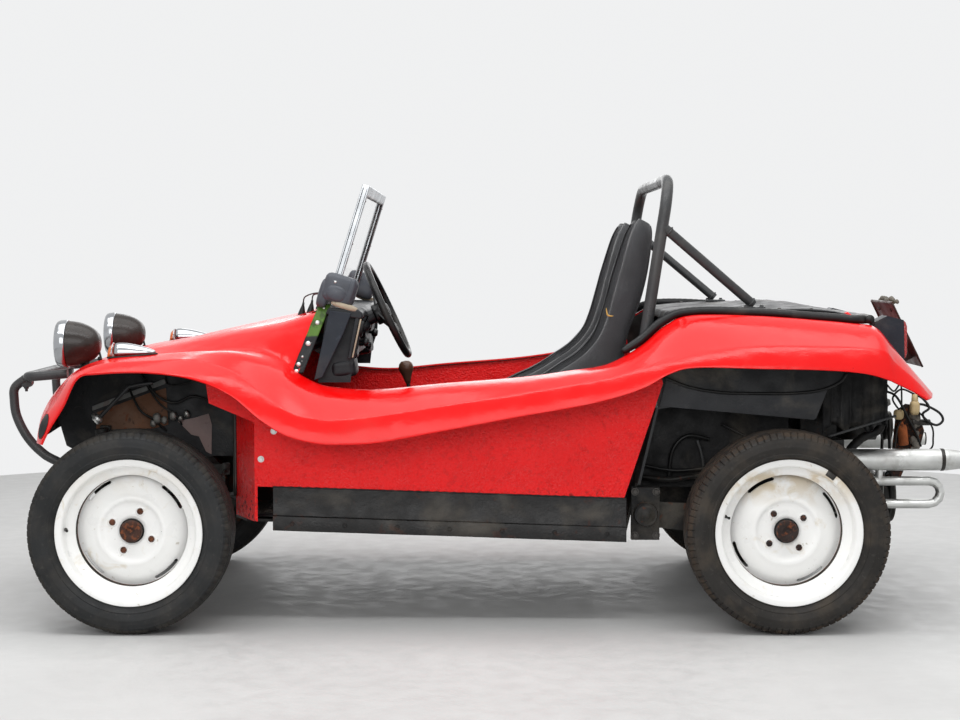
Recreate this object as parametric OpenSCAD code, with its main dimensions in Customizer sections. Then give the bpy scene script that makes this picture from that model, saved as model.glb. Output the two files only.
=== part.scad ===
// Dune buggy: open two-seat fibreglass body on a shortened saloon floor pan, flat-four engine at the rear.
// Frame: +X forward, +Y to the vehicle's left, +Z up, origin on the ground under the centre of its box.

/* [Overall] */
// Distance between the front and rear axles
wheelbase = 2006; // [1900:1:2450]
// Reach of the front bumper ahead of the front axle
front_overhang = 462; // [430:1:600]
// Reach of the exhaust behind the rear axle
rear_overhang = 667; // [600:1:850]
// Width of the body over its wing lips
body_w = 1490; // [1300:1:1800]
// Width of the tub over its side panels
tub_w = 1160; // [1060:1:1200]
// Distance between the left and right wheel centre planes
track = 1310; // [1250:1:1580]

/* [Wheels] */
// Outside diameter of a tyre
tyre_d = 622; // [540:1:750]
// Width of a tyre
tyre_w = 180; // [150:1:200]
// Diameter over the rim flanges
rim_d = 450; // [400:1:460]
// Width over the rim flanges
rim_w = 140; // [120:1:150]
// Thickness of the pressed rim and disc
rim_t = 6; // [4:1:8]
// Distance from the wheel centre plane out to the disc's bolting face
disc_offset = 5; // [0:1:15]
// Diameter of the disc pressing
disc_d = 344; // [320:1:360]
// Bolt circle of the wheel
bolt_pcd = 130; // [112:1:150]
// Diameter of a wheel bolt
bolt_d = 14; // [12:1:16]
// Diameter of a brake drum
drum_d = 230; // [180:1:236]
// Width of a brake drum
drum_w = 52; // [40:1:60]

/* [Steering] */
// Steering angle to each side
steer_lock = 28; // [20:1:30]
// Distance from the wheel centre plane in to the kingpin
kingpin_inset = 85; // [75:1:100]
// Length of each steering arm
steer_arm = 120; // [100:1:130]
// Slope of the steering column
column_tilt = 25; // [15:1:35]
// Diameter of the steering wheel
steering_wheel_d = 340; // [300:1:400]
// Thickness of the steering wheel rim
steering_rim_d = 24; // [18:1:30]

/* [Body] */
// Thickness of the fibreglass shell
skin = 8; // [5:1:10]
// Thickness of the tub's side panels
panel_t = 8; // [4:1:12]
// Height of the black side sills
sill_h = 135; // [110:1:170]
// Width of the side sills
sill_w = 60; // [40:1:80]
// Nose-up slope of the floor pan
rake = 1.9; // [0:0.1:3]
// Thickness of the floor
floor_t = 8; // [4:1:12]
// Diameter of the moulding on the rear rim
moulding_d = 28; // [20:1:36]

/* [Cockpit] */
// Gap between each seat and the hoop's leg
seat_clearance = 5; // [2:0.5:15]
// Width of a seat
seat_w = 410; // [360:1:420]
// Tube diameter of the roll hoop
hoop_d = 37; // [30:1:45]
// Tube diameter of the hoop's braces
brace_d = 30; // [25:1:38]
// Gap between the hoop's legs and the tub's side panels
hoop_gap = 33; // [30:1:50]
// Half width of the windscreen frame
screen_y = 500; // [460:1:520]
// Face width of the windscreen channel
screen_frame_w = 32; // [24:1:40]
// Depth of the windscreen channel
screen_frame_t = 24; // [18:1:30]
// Thickness of the windscreen glass
glass_t = 6; // [4:1:8]

/* [Fittings] */
// Diameter of a headlight
headlight_d = 151; // [130:1:180]
// Distance of a headlight from the middle
headlight_y = 390; // [360:1:420]
// Tube diameter of the front bumper
bumper_d = 30; // [25:1:40]
// Diameter of each silencer
silencer_d = 70; // [60:1:90]
// Width of the number plate
plate_w = 330; // [240:1:520]
// Height of the number plate
plate_h = 240; // [150:1:260]
// Spacing of the number plate's holes
plate_pitch = 180; // [120:1:200]
// Diameter of the number plate's holes
plate_hole_d = 6; // [5:0.5:8]

/* [Hidden] */

front_axle_x = (wheelbase + rear_overhang - front_overhang) / 2;
rear_axle_x = front_axle_x - wheelbase;
axle_z = tyre_d / 2;
half_track = track / 2;
half_body = body_w / 2;
half_tub = tub_w / 2;
kingpin_y = half_track - kingpin_inset;
hoop_y = half_tub - panel_t - hoop_gap - hoop_d / 2;
seat_y = hoop_y - hoop_d / 2 - seat_clearance - seat_w / 2;
seat_gap = 0.3;
FRONT = 1;
REAR = -1;
LEFT = 1;
RIGHT = -1;

// Places are given as an offset from an axle: fore and aft, and above the axle line.
function ahead(x) = front_axle_x + x;
function behind(x) = rear_axle_x + x;
function up(h) = axle_z + h;
function front_at(x, y, h) = [ahead(x), y, up(h)];
function rear_at(x, y, h) = [behind(x), y, up(h)];
function unit(v) = v / norm(v);
function flip(p) = [p.x, -p.y, p.z];

// A smooth curve through the points, with a number of steps between each two of them.
function between(a, b, c, d, t) =
    0.5 * (2 * b + (c - a) * t + (2 * a - 5 * b + 4 * c - d) * t * t + (3 * b - a - 3 * c + d) * t * t * t);
function curve(p, steps) = [
    for (i = [0:len(p) - 2])
        for (k = [0:steps - 1])
            between(p[max(i - 1, 0)], p[i], p[i + 1], p[min(i + 2, len(p) - 1)], k / steps),
    p[len(p) - 1]
];

// Tangent of a grid of points along its rows and across them, and the inward normal.
function along(g, i, j) = g[min(i + 1, len(g) - 1)][j] - g[max(i - 1, 0)][j];
function across(g, i, j) = g[i][min(j + 1, len(g[i]) - 1)] - g[i][max(j - 1, 0)];
function inward(g, i, j) = unit(cross(along(g, i, j), across(g, i, j)));
// At a joint between two panels the edge face stands in a plane across the vehicle, so both panels share it.
function edge_inward(g, i, j) = unit(cross(along(g, i, j), [0, 1, 0]));
function inner_grid(g, t, first_joint, last_joint) = [
    for (i = [0:len(g) - 1]) [
        for (j = [0:len(g[i]) - 1])
            g[i][j] + t * (
                (j == 0 && first_joint) || (j == len(g[i]) - 1 && last_joint)
                    ? edge_inward(g, i, j)
                    : inward(g, i, j)
            )
    ]
];

// A closed shell between an outer and an inner grid of points.
module shell(outer, inner) {
    rows = len(outer);
    cols = len(outer[0]);
    half = rows * cols;
    points = concat([for (r = outer) each r], [for (r = inner) each r]);
    function at(i, j) = i * cols + j;
    top = [
        for (i = [0:rows - 2]) for (j = [0:cols - 2])
            each [[at(i, j), at(i + 1, j), at(i + 1, j + 1)], [at(i, j), at(i + 1, j + 1), at(i, j + 1)]]
    ];
    bottom = [for (f = top) [f[0] + half, f[2] + half, f[1] + half]];
    rim = concat(
        [for (i = [0:rows - 2]) [at(i + 1, 0), at(i, 0)]],
        [for (j = [0:cols - 2]) [at(0, j), at(0, j + 1)]],
        [for (j = [0:cols - 2]) [at(rows - 1, j + 1), at(rows - 1, j)]]
    );
    // The last edge's faces are split the other way, as those of the panel that meets it.
    last_rim = [for (i = [0:rows - 2]) [at(i, cols - 1), at(i + 1, cols - 1)]];
    wall = concat(
        [for (e = rim) each [[e[0], e[1], e[1] + half], [e[0], e[1] + half, e[0] + half]]],
        [for (e = last_rim) each [[e[0], e[1], e[0] + half], [e[1], e[1] + half, e[0] + half]]]
    );
    polyhedron(points, concat(top, bottom, wall), convexity = 10);
}

// A round bar between two points, and one that bends through a list of points.
module rod(p, q, d) {
    v = q - p;
    translate(p)
        rotate([0, acos(v.z / norm(v)), atan2(v.y, v.x)])
            cylinder(h = norm(v), d = d, $fn = 48);
}

// A round tube along a path that bends about one direction.
tube_sides = 16;
function ring(p, u, normal, r) =
    let (a = unit(cross(u, normal)), b = cross(a, unit(u)))
    [
        for (k = [0:tube_sides - 1])
            p + r * (cos(k * 360 / tube_sides) * a + sin(k * 360 / tube_sides) * b)
    ];
module tube_along(path, d, normal) {
    n = len(path);
    m = tube_sides;
    rings = [
        for (i = [0:n - 1])
            each ring(path[i], path[min(i + 1, n - 1)] - path[max(i - 1, 0)], normal, d / 2)
    ];
    side = [
        for (i = [0:n - 2]) for (k = [0:m - 1])
            let (a = i * m + k, b = i * m + (k + 1) % m)
                each [[a, b + m, a + m], [a, b, b + m]]
    ];
    first = [for (k = [m - 1:-1:0]) k];
    last = [for (k = [0:m - 1]) (n - 1) * m + k];
    polyhedron(rings, concat(side, [first, last]), convexity = 6);
}

// A side outline in X and Z, as thick as from y0 to y1.
module slab(outline, y0, y1) {
    translate([0, y1, 0])
        rotate([90, 0, 0])
            linear_extrude(y1 - y0) polygon(outline);
}

module both_sides() {
    children();
    mirror([0, 1, 0]) children();
}

// The floor pan's frame slopes nose-up through the middle of the wheelbase.
pan_x = (front_axle_x + rear_axle_x) / 2;
sill_top = up(105);
function pan_z(x) = sill_top + (x - pan_x) * tan(rake);
tub_front = ahead(-290);
floor_drop = sill_h - 25;

// ---------------------------------------------------------------- body lines
// Each station runs from the rim or the bonnet joint out to the wing lip. Its five points are
// [offset from the axle, height above the axle line], and inner_y and lip_inset place its ends across.
// [axle, inner_y, lip_inset, inner, shoulder, slope, crease, lip]
lip_share = [0, 0.2, 0.52, 0.85, 1];
STATIONS = [
    [FRONT, half_tub - 180, 10, [315, 274], [311, 274], [300, 273], [284, 272], [259, 272]],
    [FRONT, half_tub - 180, 10, [313, 344], [308, 344], [296, 339], [272, 329], [235, 319]],
    [FRONT, half_tub - 180, 10, [275, 417], [270, 417], [255, 411], [225, 395], [193, 387]],
    [FRONT, half_tub - 180, 8, [192, 486], [190, 486], [184, 486], [170, 478], [148, 474]],
    [FRONT, half_tub - 180, 5, [82, 515], [82, 516], [82, 525], [82, 513], [82, 489]],
    [FRONT, half_tub - 180, 3, [-63, 527], [-63, 527], [-63, 537], [-63, 523], [-63, 492]],
    [FRONT, half_tub - 160, 1, [-203, 537], [-203, 537], [-203, 546], [-203, 525], [-203, 471]],
    [FRONT, half_tub - 120, 0, [-313, 545], [-313, 546], [-313, 540], [-313, 493], [-313, 423]],
    [FRONT, half_tub - 75, 1, [-393, 539], [-393, 533], [-393, 508], [-393, 436], [-393, 356]],
    [FRONT, half_tub - 30, 2, [-458, 517], [-458, 507], [-458, 472], [-458, 386], [-458, 311]],
    [FRONT, half_tub - 8, 3, [-503, 479], [-503, 470], [-503, 440], [-503, 360], [-503, 291]],
    [FRONT, half_tub - 14, 4, [-563, 446], [-563, 440], [-563, 415], [-563, 348], [-563, 277]],
    [FRONT, half_tub - 20, 4, [-623, 433], [-623, 428], [-623, 406], [-623, 343], [-623, 272]],
    [FRONT, half_tub - 20, 4, [-753, 427], [-753, 423], [-753, 403], [-753, 356], [-753, 277]],
    [FRONT, half_tub - 20, 4, [-943, 445], [-943, 442], [-943, 426], [-943, 386], [-943, 311]],
    [REAR, half_tub - 20, 4, [813, 465], [813, 463], [813, 452], [813, 426], [813, 358]],
    [REAR, half_tub - 20, 4, [663, 485], [663, 483], [663, 475], [663, 452], [663, 384]],
    [REAR, half_tub - 20, 4, [543, 506], [543, 504], [543, 495], [543, 474], [543, 411]],
    [REAR, half_tub - 20, 3, [443, 561], [443, 557], [443, 538], [443, 504], [443, 445]],
    [REAR, half_tub - 24, 2, [363, 627], [363, 622], [363, 592], [363, 534], [363, 489]],
    [REAR, half_tub - 35, 1, [283, 655], [283, 655], [283, 620], [283, 553], [283, 506]],
    [REAR, half_tub - 50, 0, [83, 651], [83, 654], [83, 623], [83, 569], [83, 502]],
    [REAR, half_tub - 50, 0, [-97, 639], [-97, 642], [-97, 615], [-97, 568], [-97, 498]],
    [REAR, half_tub - 50, 1, [-217, 629], [-217, 631], [-217, 607], [-217, 564], [-217, 488]],
    [REAR, half_tub - 50, 3, [-287, 619], [-287, 619], [-287, 598], [-287, 551], [-287, 470]],
    [REAR, half_tub - 50, 5, [-337, 567], [-335, 566], [-332, 550], [-322, 514], [-317, 457]],
    [REAR, half_tub - 50, 7, [-397, 492], [-395, 492], [-393, 484], [-382, 464], [-367, 434]],
    [REAR, half_tub - 50, 11, [-452, 422], [-452, 422], [-449, 421], [-432, 411], [-412, 409]]
];
BONNET_END = 10;
TAIL_START = 23;
station_steps = 2;
cross_steps = 3;

function station_y(s, k) = s[1] + lip_share[k] * (half_body - s[2] - s[1]);
function station_point(s, k) =
    [(s[0] == FRONT ? front_axle_x : rear_axle_x) + s[3 + k].x, station_y(s, k), up(s[3 + k].y)];
function body_line(k) = curve([for (s = STATIONS) station_point(s, k)], station_steps);
BODY_LINES = [for (k = [0:4]) body_line(k)];
SIDE_GRID = [
    for (i = [0:len(BODY_LINES[0]) - 1])
        concat(curve([for (k = [0:3]) BODY_LINES[k][i]], cross_steps), [BODY_LINES[4][i]])
];
SIDE_INNER = inner_grid(SIDE_GRID, skin, true, false);

// The bonnet's own lines, from its middle out to its ridge and side wall, at the first stations.
// [offset of the middle, height of the middle, ridge_y, ridge offset, ridge height, wall offset, wall height]
BONNET = [
    [327, 279, 250, 322, 278, 318, 276],
    [325, 349, 250, 321, 348, 317, 346],
    [287, 422, 250, 283, 421, 279, 419],
    [199, 495, 250, 197, 493, 195, 489],
    [82, 534, 290, 82, 530, 82, 520],
    [-63, 561, 300, -63, 554, -63, 538],
    [-203, 593, 318, -203, 583, -203, 557],
    [-313, 617, 350, -313, 605, -313, 573],
    [-393, 635, 400, -393, 619, -393, 579],
    [-458, 649, 455, -458, 633, -458, 584],
    [-563, 674, 520, -581, 674, -548, 589]
];
function bonnet_half(i) =
    let (b = BONNET[i], a = station_point(STATIONS[i], 0))
    [
        front_at(b[0], 0, b[1]),
        front_at(b[0], b[2] * 0.6, b[1] - (b[1] - b[4]) * 0.2),
        front_at(b[3], b[2], b[4]),
        front_at(b[5], (b[2] + a.y) / 2 + 8, b[6]),
    ];
BONNET_LINES = [for (k = [0:3]) curve([for (i = [0:BONNET_END]) bonnet_half(i)[k]], station_steps)];
BONNET_GRID = [
    for (i = [0:BONNET_END * station_steps])
        let (h = concat([for (k = [0:3]) BONNET_LINES[k][i]], [SIDE_GRID[i][0]]))
            curve(concat([for (k = [4:-1:1]) flip(h[k])], h), 2)
];
BONNET_INNER = inner_grid(BONNET_GRID, skin, true, true);

module body_side_left() {
    color("#d01c1c") shell(SIDE_GRID, SIDE_INNER);
}

module body_side_right() {
    color("#d01c1c") mirror([0, 1, 0]) shell(SIDE_GRID, SIDE_INNER);
}

module bonnet() {
    color("#d01c1c") shell(BONNET_GRID, BONNET_INNER);
}

// The tail closes the body between the two sides, behind the engine.
TAIL_GRID = [
    for (i = [TAIL_START * station_steps:len(SIDE_GRID) - 1])
        let (e = SIDE_GRID[i][0])
            [for (s = [-1, -0.5, 0, 0.5, 1]) [e.x, s * e.y, e.z]]
];
module tail_panel() {
    color("#d01c1c") shell(TAIL_GRID, inner_grid(TAIL_GRID, skin, true, true));
}

// ---------------------------------------------------------------- tub
// The panels' top edge follows the rim's underside from the bonnet joint to the rear bulkhead.
rim_drop = 2;
RIM_UNDERSIDE = [
    for (i = [(BONNET_END + 1) * station_steps:18 * station_steps])
        let (p = SIDE_GRID[i][0] + (skin + rim_drop) * edge_inward(SIDE_GRID, i, 0))
            [p.x, p.z]
];
// The footwell's front corners stand back from the tyres at full lock.
tyre_clearance = 8;
inner_edge = tyre_w / 2 - kingpin_inset;
swept = [
    ahead(inner_edge * sin(steer_lock) - axle_z * cos(steer_lock) - tyre_clearance / cos(steer_lock)),
    kingpin_y - axle_z * sin(steer_lock) - inner_edge * cos(steer_lock)
];
function corner_x(y) = swept.x - (y - swept.y) * tan(steer_lock);
function corner_y(x) = swept.y - (x - swept.x) / tan(steer_lock);
panel_front = corner_x(half_tub);
corner_back = panel_t / cos(steer_lock);
wall_top = up(500);
arch_clear = up(axle_z + 14);
PANEL_OUTLINE = concat(
    [
        [panel_front, pan_z(panel_front)],
        [panel_front, arch_clear],
        [ahead(-226), arch_clear + 60],
        [ahead(-216), up(455)],
        [ahead(-220), up(525)],
        [ahead(-330), up(522)],
        [ahead(-420), up(505)],
        [ahead(-470), up(478)],
        [ahead(-515), up(445)]
    ],
    RIM_UNDERSIDE,
    [
        [behind(400), up(560)],
        [behind(372), up(446)],
        [behind(491), pan_z(behind(491))]
    ]
);
module above_floor(y) {
    front = tub_front + 1;
    rear = panel_front - 30;
    slab([
        [front, pan_z(front) - floor_drop],
        [front, wall_top],
        [rear, wall_top],
        [rear, pan_z(rear) - floor_drop]
    ], -y, y);
}
module side_panels() {
    color("#c01818") both_sides() {
        slab(PANEL_OUTLINE, half_tub - panel_t, half_tub);
        difference() {
            intersection() {
                translate([0, 0, axle_z - sill_h])
                    linear_extrude(wall_top)
                        polygon([
                            [tub_front, corner_y(tub_front)],
                            [panel_front, half_tub],
                            [panel_front - corner_back, half_tub],
                            [tub_front - corner_back, corner_y(tub_front)]
                        ]);
                above_floor(half_tub);
            }
            column_hole(column_d);
        }
    }
}

module sills() {
    ledge_h = 45;
    ledge_w = 12;
    front = min(ahead(-424), panel_front - corner_back - seat_gap);
    rear = behind(484);
    color("#101010") both_sides() {
        slab([
            [front, pan_z(front)],
            [front, pan_z(front) - sill_h],
            [rear, pan_z(rear) - sill_h],
            [rear, pan_z(rear)]
        ], half_tub - sill_w, half_tub);
        slab([
            [front, pan_z(front) - sill_h + ledge_h],
            [front, pan_z(front) - sill_h],
            [rear, pan_z(rear) - sill_h],
            [rear, pan_z(rear) - sill_h + ledge_h]
        ], half_tub, half_tub + ledge_w);
    }
}

tunnel_w = 2 * (seat_y - seat_w / 2 - 12);
tunnel_h = 110;
function tunnel_top(x) = pan_z(x) - floor_drop + tunnel_h;
module floor_pan() {
    front = tub_front;
    rear = behind(500);
    sill_in = half_tub - sill_w;
    color("#181818") {
        intersection() {
            slab([
                [front, pan_z(front) - floor_drop],
                [rear, pan_z(rear) - floor_drop],
                [rear, pan_z(rear) - floor_drop - floor_t],
                [front, pan_z(front) - floor_drop - floor_t]
            ], -sill_in, sill_in);
            linear_extrude(sill_top)
                polygon([
                    [rear - 1, -sill_in],
                    [corner_x(sill_in), -sill_in],
                    [front, -corner_y(front)],
                    [front, corner_y(front)],
                    [corner_x(sill_in), sill_in],
                    [rear - 1, sill_in]
                ]);
        }
        slab([
            [front, pan_z(front) - floor_drop],
            [front, pan_z(front) - floor_drop + tunnel_h],
            [rear, pan_z(rear) - floor_drop + tunnel_h],
            [rear, pan_z(rear) - floor_drop]
        ], -tunnel_w / 2, tunnel_w / 2);
    }
}

// The fork that carries the front beam.
beam_x = ahead(130);
beam_low = up(-40);
beam_high = up(110);
beam_tube_d = 62;
beam_half = kingpin_y - 130;
module frame_head() {
    low = up(-75);
    color("#181818") slab([
        [tub_front, pan_z(tub_front) - floor_drop - floor_t],
        [tub_front, pan_z(tub_front) - floor_drop + 5],
        [ahead(-200), up(20)],
        [ahead(60), up(15)],
        [beam_x - beam_tube_d / 2, up(15)],
        [beam_x - beam_tube_d / 2, low],
        [ahead(0), low]
    ], -110, 110);
}

module front_bulkhead() {
    wall_x = tub_front - panel_t;
    inside = corner_y(tub_front) - seat_gap;
    color("#202020") difference() {
        intersection() {
            translate([wall_x, -inside, axle_z - sill_h]) cube([panel_t, 2 * inside, wall_top]);
            above_floor(half_tub);
        }
        slab([
            [wall_x - 1, pan_z(wall_x - 1) - floor_drop - floor_t],
            [wall_x - 1, tunnel_top(wall_x - 1)],
            [tub_front + 1, tunnel_top(tub_front + 1)],
            [tub_front + 1, pan_z(tub_front + 1) - floor_drop - floor_t]
        ], -tunnel_w / 2, tunnel_w / 2);
        column_hole(column_d);
    }
}

// Behind the seats the tub closes with a sloping bulkhead, and a shallow well lies over the gearbox.
well_floor = up(370);
well_rear = behind(-150);
well_y = half_tub - 50 - seat_gap;
bulkhead_t = 8;
bulkhead_low = [behind(486), pan_z(behind(486)) - floor_drop - floor_t];
bulkhead_high = [behind(392), well_floor];
torsion_half = half_tub - 75;
function bulkhead_x(z) =
    bulkhead_low.x + (z - bulkhead_low.y) * (bulkhead_high.x - bulkhead_low.x) / (bulkhead_high.y - bulkhead_low.y);
module bulkhead_strip(z0, z1, y0, y1) {
    slab([
        [bulkhead_x(z0), z0],
        [bulkhead_x(z0) - bulkhead_t, z0],
        [bulkhead_x(z1) - bulkhead_t, z1],
        [bulkhead_x(z1), z1]
    ], y0, y1);
}
module rear_bulkhead() {
    side_low = up(130);
    color("#141414") {
        bulkhead_strip(bulkhead_low.y, well_floor, -torsion_half, torsion_half);
        both_sides()
            bulkhead_strip(side_low, well_floor, torsion_half - 1, half_tub - panel_t - seat_gap);
    }
}

// The black cover lies over the well and the engine bay, level where the braces stand on it.
cover_y = half_tub - 50 - moulding_d / 2 - 4.5;
cover_pad = up(674);
cover_front = [behind(335), up(640)];
cover_rear = [behind(-230), up(632)];
function cover_under(x) =
    cover_rear.y + (x - cover_rear.x) * (cover_front.y - cover_rear.y) / (cover_front.x - cover_rear.x);
module rear_cover() {
    color("#161616") slab([
        cover_front,
        [behind(325), up(658)],
        [behind(135), cover_pad],
        [behind(25), cover_pad],
        [behind(-120), up(672)],
        [behind(-205), up(660)],
        [behind(-230), up(640)],
        cover_rear
    ], -cover_y, cover_y);
}

module rear_well() {
    front = bulkhead_high.x - bulkhead_t - seat_gap;
    rear_floor = well_floor + 80;
    t = panel_t;
    lip = 30;
    color("#141414") {
        slab([
            [front, well_floor],
            [front, well_floor - t],
            [well_rear - t, rear_floor - t],
            [well_rear - t, cover_under(well_rear - t) - seat_gap],
            [well_rear, cover_under(well_rear) - seat_gap],
            [well_rear, rear_floor]
        ], -well_y, well_y);
        both_sides() {
            slab([
                [front, well_floor - t],
                [well_rear, rear_floor - t],
                [well_rear, cover_under(well_rear) - seat_gap],
                [cover_front.x, cover_under(cover_front.x) - seat_gap],
                [front, well_floor + 40]
            ], well_y - t, well_y);
            slab([
                [well_rear, cover_under(well_rear) - seat_gap],
                [well_rear, cover_under(well_rear) - t],
                [cover_front.x, cover_under(cover_front.x) - t],
                [cover_front.x, cover_under(cover_front.x) - seat_gap]
            ], well_y - lip, well_y);
        }
    }
}

// The moulding is a round tube that stands on the rim's edge round the rear of the cockpit.
MOULDING_PATH = [
    for (i = [17 * station_steps + 1:23 * station_steps])
        SIDE_GRID[i][0] - (moulding_d / 2 + seat_gap) * edge_inward(SIDE_GRID, i, 0)
];
module rim_moulding() {
    rear_corner = MOULDING_PATH[len(MOULDING_PATH) - 1];
    bend = 60;
    rear_run = [
        for (a = [30:30:90])
            rear_corner + [-bend * sin(a), -bend * (1 - cos(a)), 0]
    ];
    left_half = concat(MOULDING_PATH, rear_run);
    right_half = [for (i = [len(left_half) - 1:-1:0]) flip(left_half[i])];
    color("#121212") tube_along(concat(left_half, right_half), moulding_d, [0, 0, 1]);
}

// ---------------------------------------------------------------- cockpit front
// The pillar line is the cowl's rear edge, and the screen stands on it.
pillar_low = [ahead(-503), up(477)];
pillar_high = [ahead(-586), up(687)];
pillar_w = 36;
pillar_t = 6;
screen_low = [ahead(-600), up(700)];
screen_high = [ahead(-712), up(1062)];
screen_lean = atan2(screen_low.x - screen_high.x, screen_high.y - screen_low.y);
module screen_pillars() {
    back = [-pillar_w * 1.05, 0];
    color("#2a3320") both_sides()
        slab([
            pillar_low - [2, 0],
            pillar_high - [2, 0],
            pillar_high - [2, 0] + back,
            pillar_low - [2, 0] + back
        ], half_tub - 8, half_tub - 8 + pillar_t);
}

// The steering column runs down and forward from the steering wheel.
wheel_centre = front_at(-768, 330, 668);
column_dir = [cos(column_tilt), 0, -sin(column_tilt)];
column_d = 38;
column_head_d = 46;
column_length = 700;
column_end = wheel_centre + column_length * column_dir;
pivot_gap = 0.5;
module column_hole(d) {
    rod(wheel_centre, wheel_centre + column_length * column_dir, d + 2 * seat_gap);
}

module dashboard() {
    face = ahead(-700);
    board_y = half_tub - 20;
    color("#16181c") {
        difference() {
            slab([
                [ahead(-590), up(662)],
                [ahead(-598), up(680)],
                [face + 6, up(672)],
                [face + 4, up(660)],
                [face + 8, up(660)],
                [face + 8, up(520)],
                [face + 20, up(520)],
                [face + 20, up(660)]
            ], -board_y + 4, board_y - 4);
            column_hole(column_d);
        }
        both_sides()
            slab([
                [ahead(-594), up(670)],
                [face + 12, up(666)],
                [face + 14, up(500)],
                [ahead(-560), up(480)]
            ], board_y - panel_t, board_y);
    }
}

module windscreen_frame() {
    w = screen_frame_w;
    t = screen_frame_t;
    length = norm(screen_high - screen_low);
    color("#b8bcc0")
        translate([screen_low.x, 0, screen_low.y])
            rotate([0, -screen_lean, 0])
                difference() {
                    translate([-t / 2, -screen_y, 0]) cube([t, 2 * screen_y, length]);
                    translate([-t, -screen_y + w, w]) cube([2 * t, 2 * (screen_y - w), length - 2 * w]);
                    translate([-glass_t / 2 - seat_gap, -screen_y + w / 2, w / 2])
                        cube([glass_t + 2 * seat_gap, 2 * screen_y - w, length - w]);
                }
}

module windscreen_glass() {
    w = screen_frame_w;
    length = norm(screen_high - screen_low);
    grip = w / 2 + 1;
    color("#a8c0c8", 0.4)
        translate([screen_low.x, 0, screen_low.y])
            rotate([0, -screen_lean, 0])
                translate([-glass_t / 2, -screen_y + grip, grip])
                    cube([glass_t, 2 * (screen_y - grip), length - 2 * grip]);
}

module wipers() {
    blade_d = 10;
    color("#101010") for (y = [-120, 250]) {
        foot = front_at(-545, y, 684);
        tip = front_at(-592, y - 230, 730);
        rod(foot - [0, 0, 12], foot + [0, 0, 22], 16);
        rod(foot + [0, 0, 18], tip, blade_d);
    }
}

module steering_column() {
    start = wheel_centre + 45 * column_dir;
    color("#141414") {
        rod(start, start + 25 * column_dir, column_head_d);
        rod(start + 20 * column_dir, column_end, column_d);
    }
}

module steering_wheel() {
    ring_r = (steering_wheel_d - steering_rim_d) / 2;
    spoke_t = 5;
    dish = 30;
    hub_d = 70;
    color("#0c0c0c")
        translate(wheel_centre)
            rotate([0, 90 + column_tilt, 0])
                union() {
                    rotate_extrude($fn = 96)
                        translate([ring_r, 0])
                            circle(d = steering_rim_d, $fn = 32);
                    translate([0, 0, dish - spoke_t]) cylinder(h = 45 - pivot_gap - dish + spoke_t, d = hub_d, $fn = 48);
                    for (a = [0, 120, 240])
                        rotate([0, 0, a + 60])
                            rod([0, 0, dish], [ring_r, 0, 0], 14);
                }
}

// ---------------------------------------------------------------- controls and seats
module levers() {
    foot = [ahead(-860), 0, tunnel_top(ahead(-830)) + seat_gap];
    knob = front_at(-815, 0, 459);
    grip_foot = [ahead(-1010), 0, tunnel_top(ahead(-988)) + seat_gap];
    color("#1c1410") {
        rod(foot, foot + [0, 0, 30], 60);
        rod(foot + [0, 0, 20], knob, 12);
        translate(knob) sphere(d = 42, $fn = 32);
    }
    color("#303030") {
        rod(grip_foot, grip_foot + [0, 0, 26], 44);
        rod(grip_foot + [0, 0, 20], grip_foot + [-150, 0, 110], 20);
    }
}

module pedals() {
    floor_z = pan_z(ahead(-380)) - floor_drop;
    color("#202020") for (y = [210, 300, 390]) {
        translate([ahead(-440), y - 30, floor_z]) cube([60, 60, 10]);
        rod([ahead(-410), y, floor_z + 5], [ahead(-440), y, floor_z + 150], 12);
        translate([ahead(-440) - 12, y - 30, floor_z + 145]) cube([10, 60, 70]);
    }
}

// A one-piece bucket seat: squab, back and two raised sides, open to the front and the top.
SQUAB = [
    [930, 60], [940, 250], [915, 320], [880, 345], [740, 372], [640, 362], [560, 400], [512, 400], [510, 60]
];
BACK = [
    [560, 399], [510, 620], [470, 800], [440, 960], [425, 985], [405, 975], [398, 940], [416, 790],
    [440, 700], [474, 615], [490, 520], [503, 430], [510, 380]
];
WING = [
    [925, 60], [950, 200], [950, 320], [920, 370], [850, 410], [738, 465], [674, 508], [599, 562],
    [555, 623], [534, 680], [509, 769], [484, 860], [459, 931], [440, 970], [419, 986], [400, 970],
    [394, 940], [413, 790], [436, 700], [471, 615], [487, 520], [500, 430], [510, 60]
];
wing_t = 60;
runner_w = 30;
seat_floor = pan_z(behind(620)) - floor_drop;
function seat_outline(points) = [for (p = points) [behind(p.x), seat_floor + p.y]];
module seat(side) {
    y0 = side * seat_y - seat_w / 2;
    color("#141416") {
        slab(seat_outline(SQUAB), y0 + wing_t - 1, y0 + seat_w - wing_t + 1);
        slab(seat_outline(BACK), y0 + wing_t - 1, y0 + seat_w - wing_t + 1);
        slab(seat_outline(WING), y0, y0 + wing_t);
        slab(seat_outline(WING), y0 + seat_w - wing_t, y0 + seat_w);
        for (x = [560, 860]) {
            foot_z = pan_z(behind(x) + runner_w / 2) - floor_drop;
            translate([behind(x) - runner_w / 2, y0 + 20, foot_z])
                cube([runner_w, seat_w - 40, seat_floor + 63 - foot_z]);
        }
    }
}

module seat_left() {
    seat(LEFT);
}

module seat_right() {
    seat(RIGHT);
}

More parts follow.
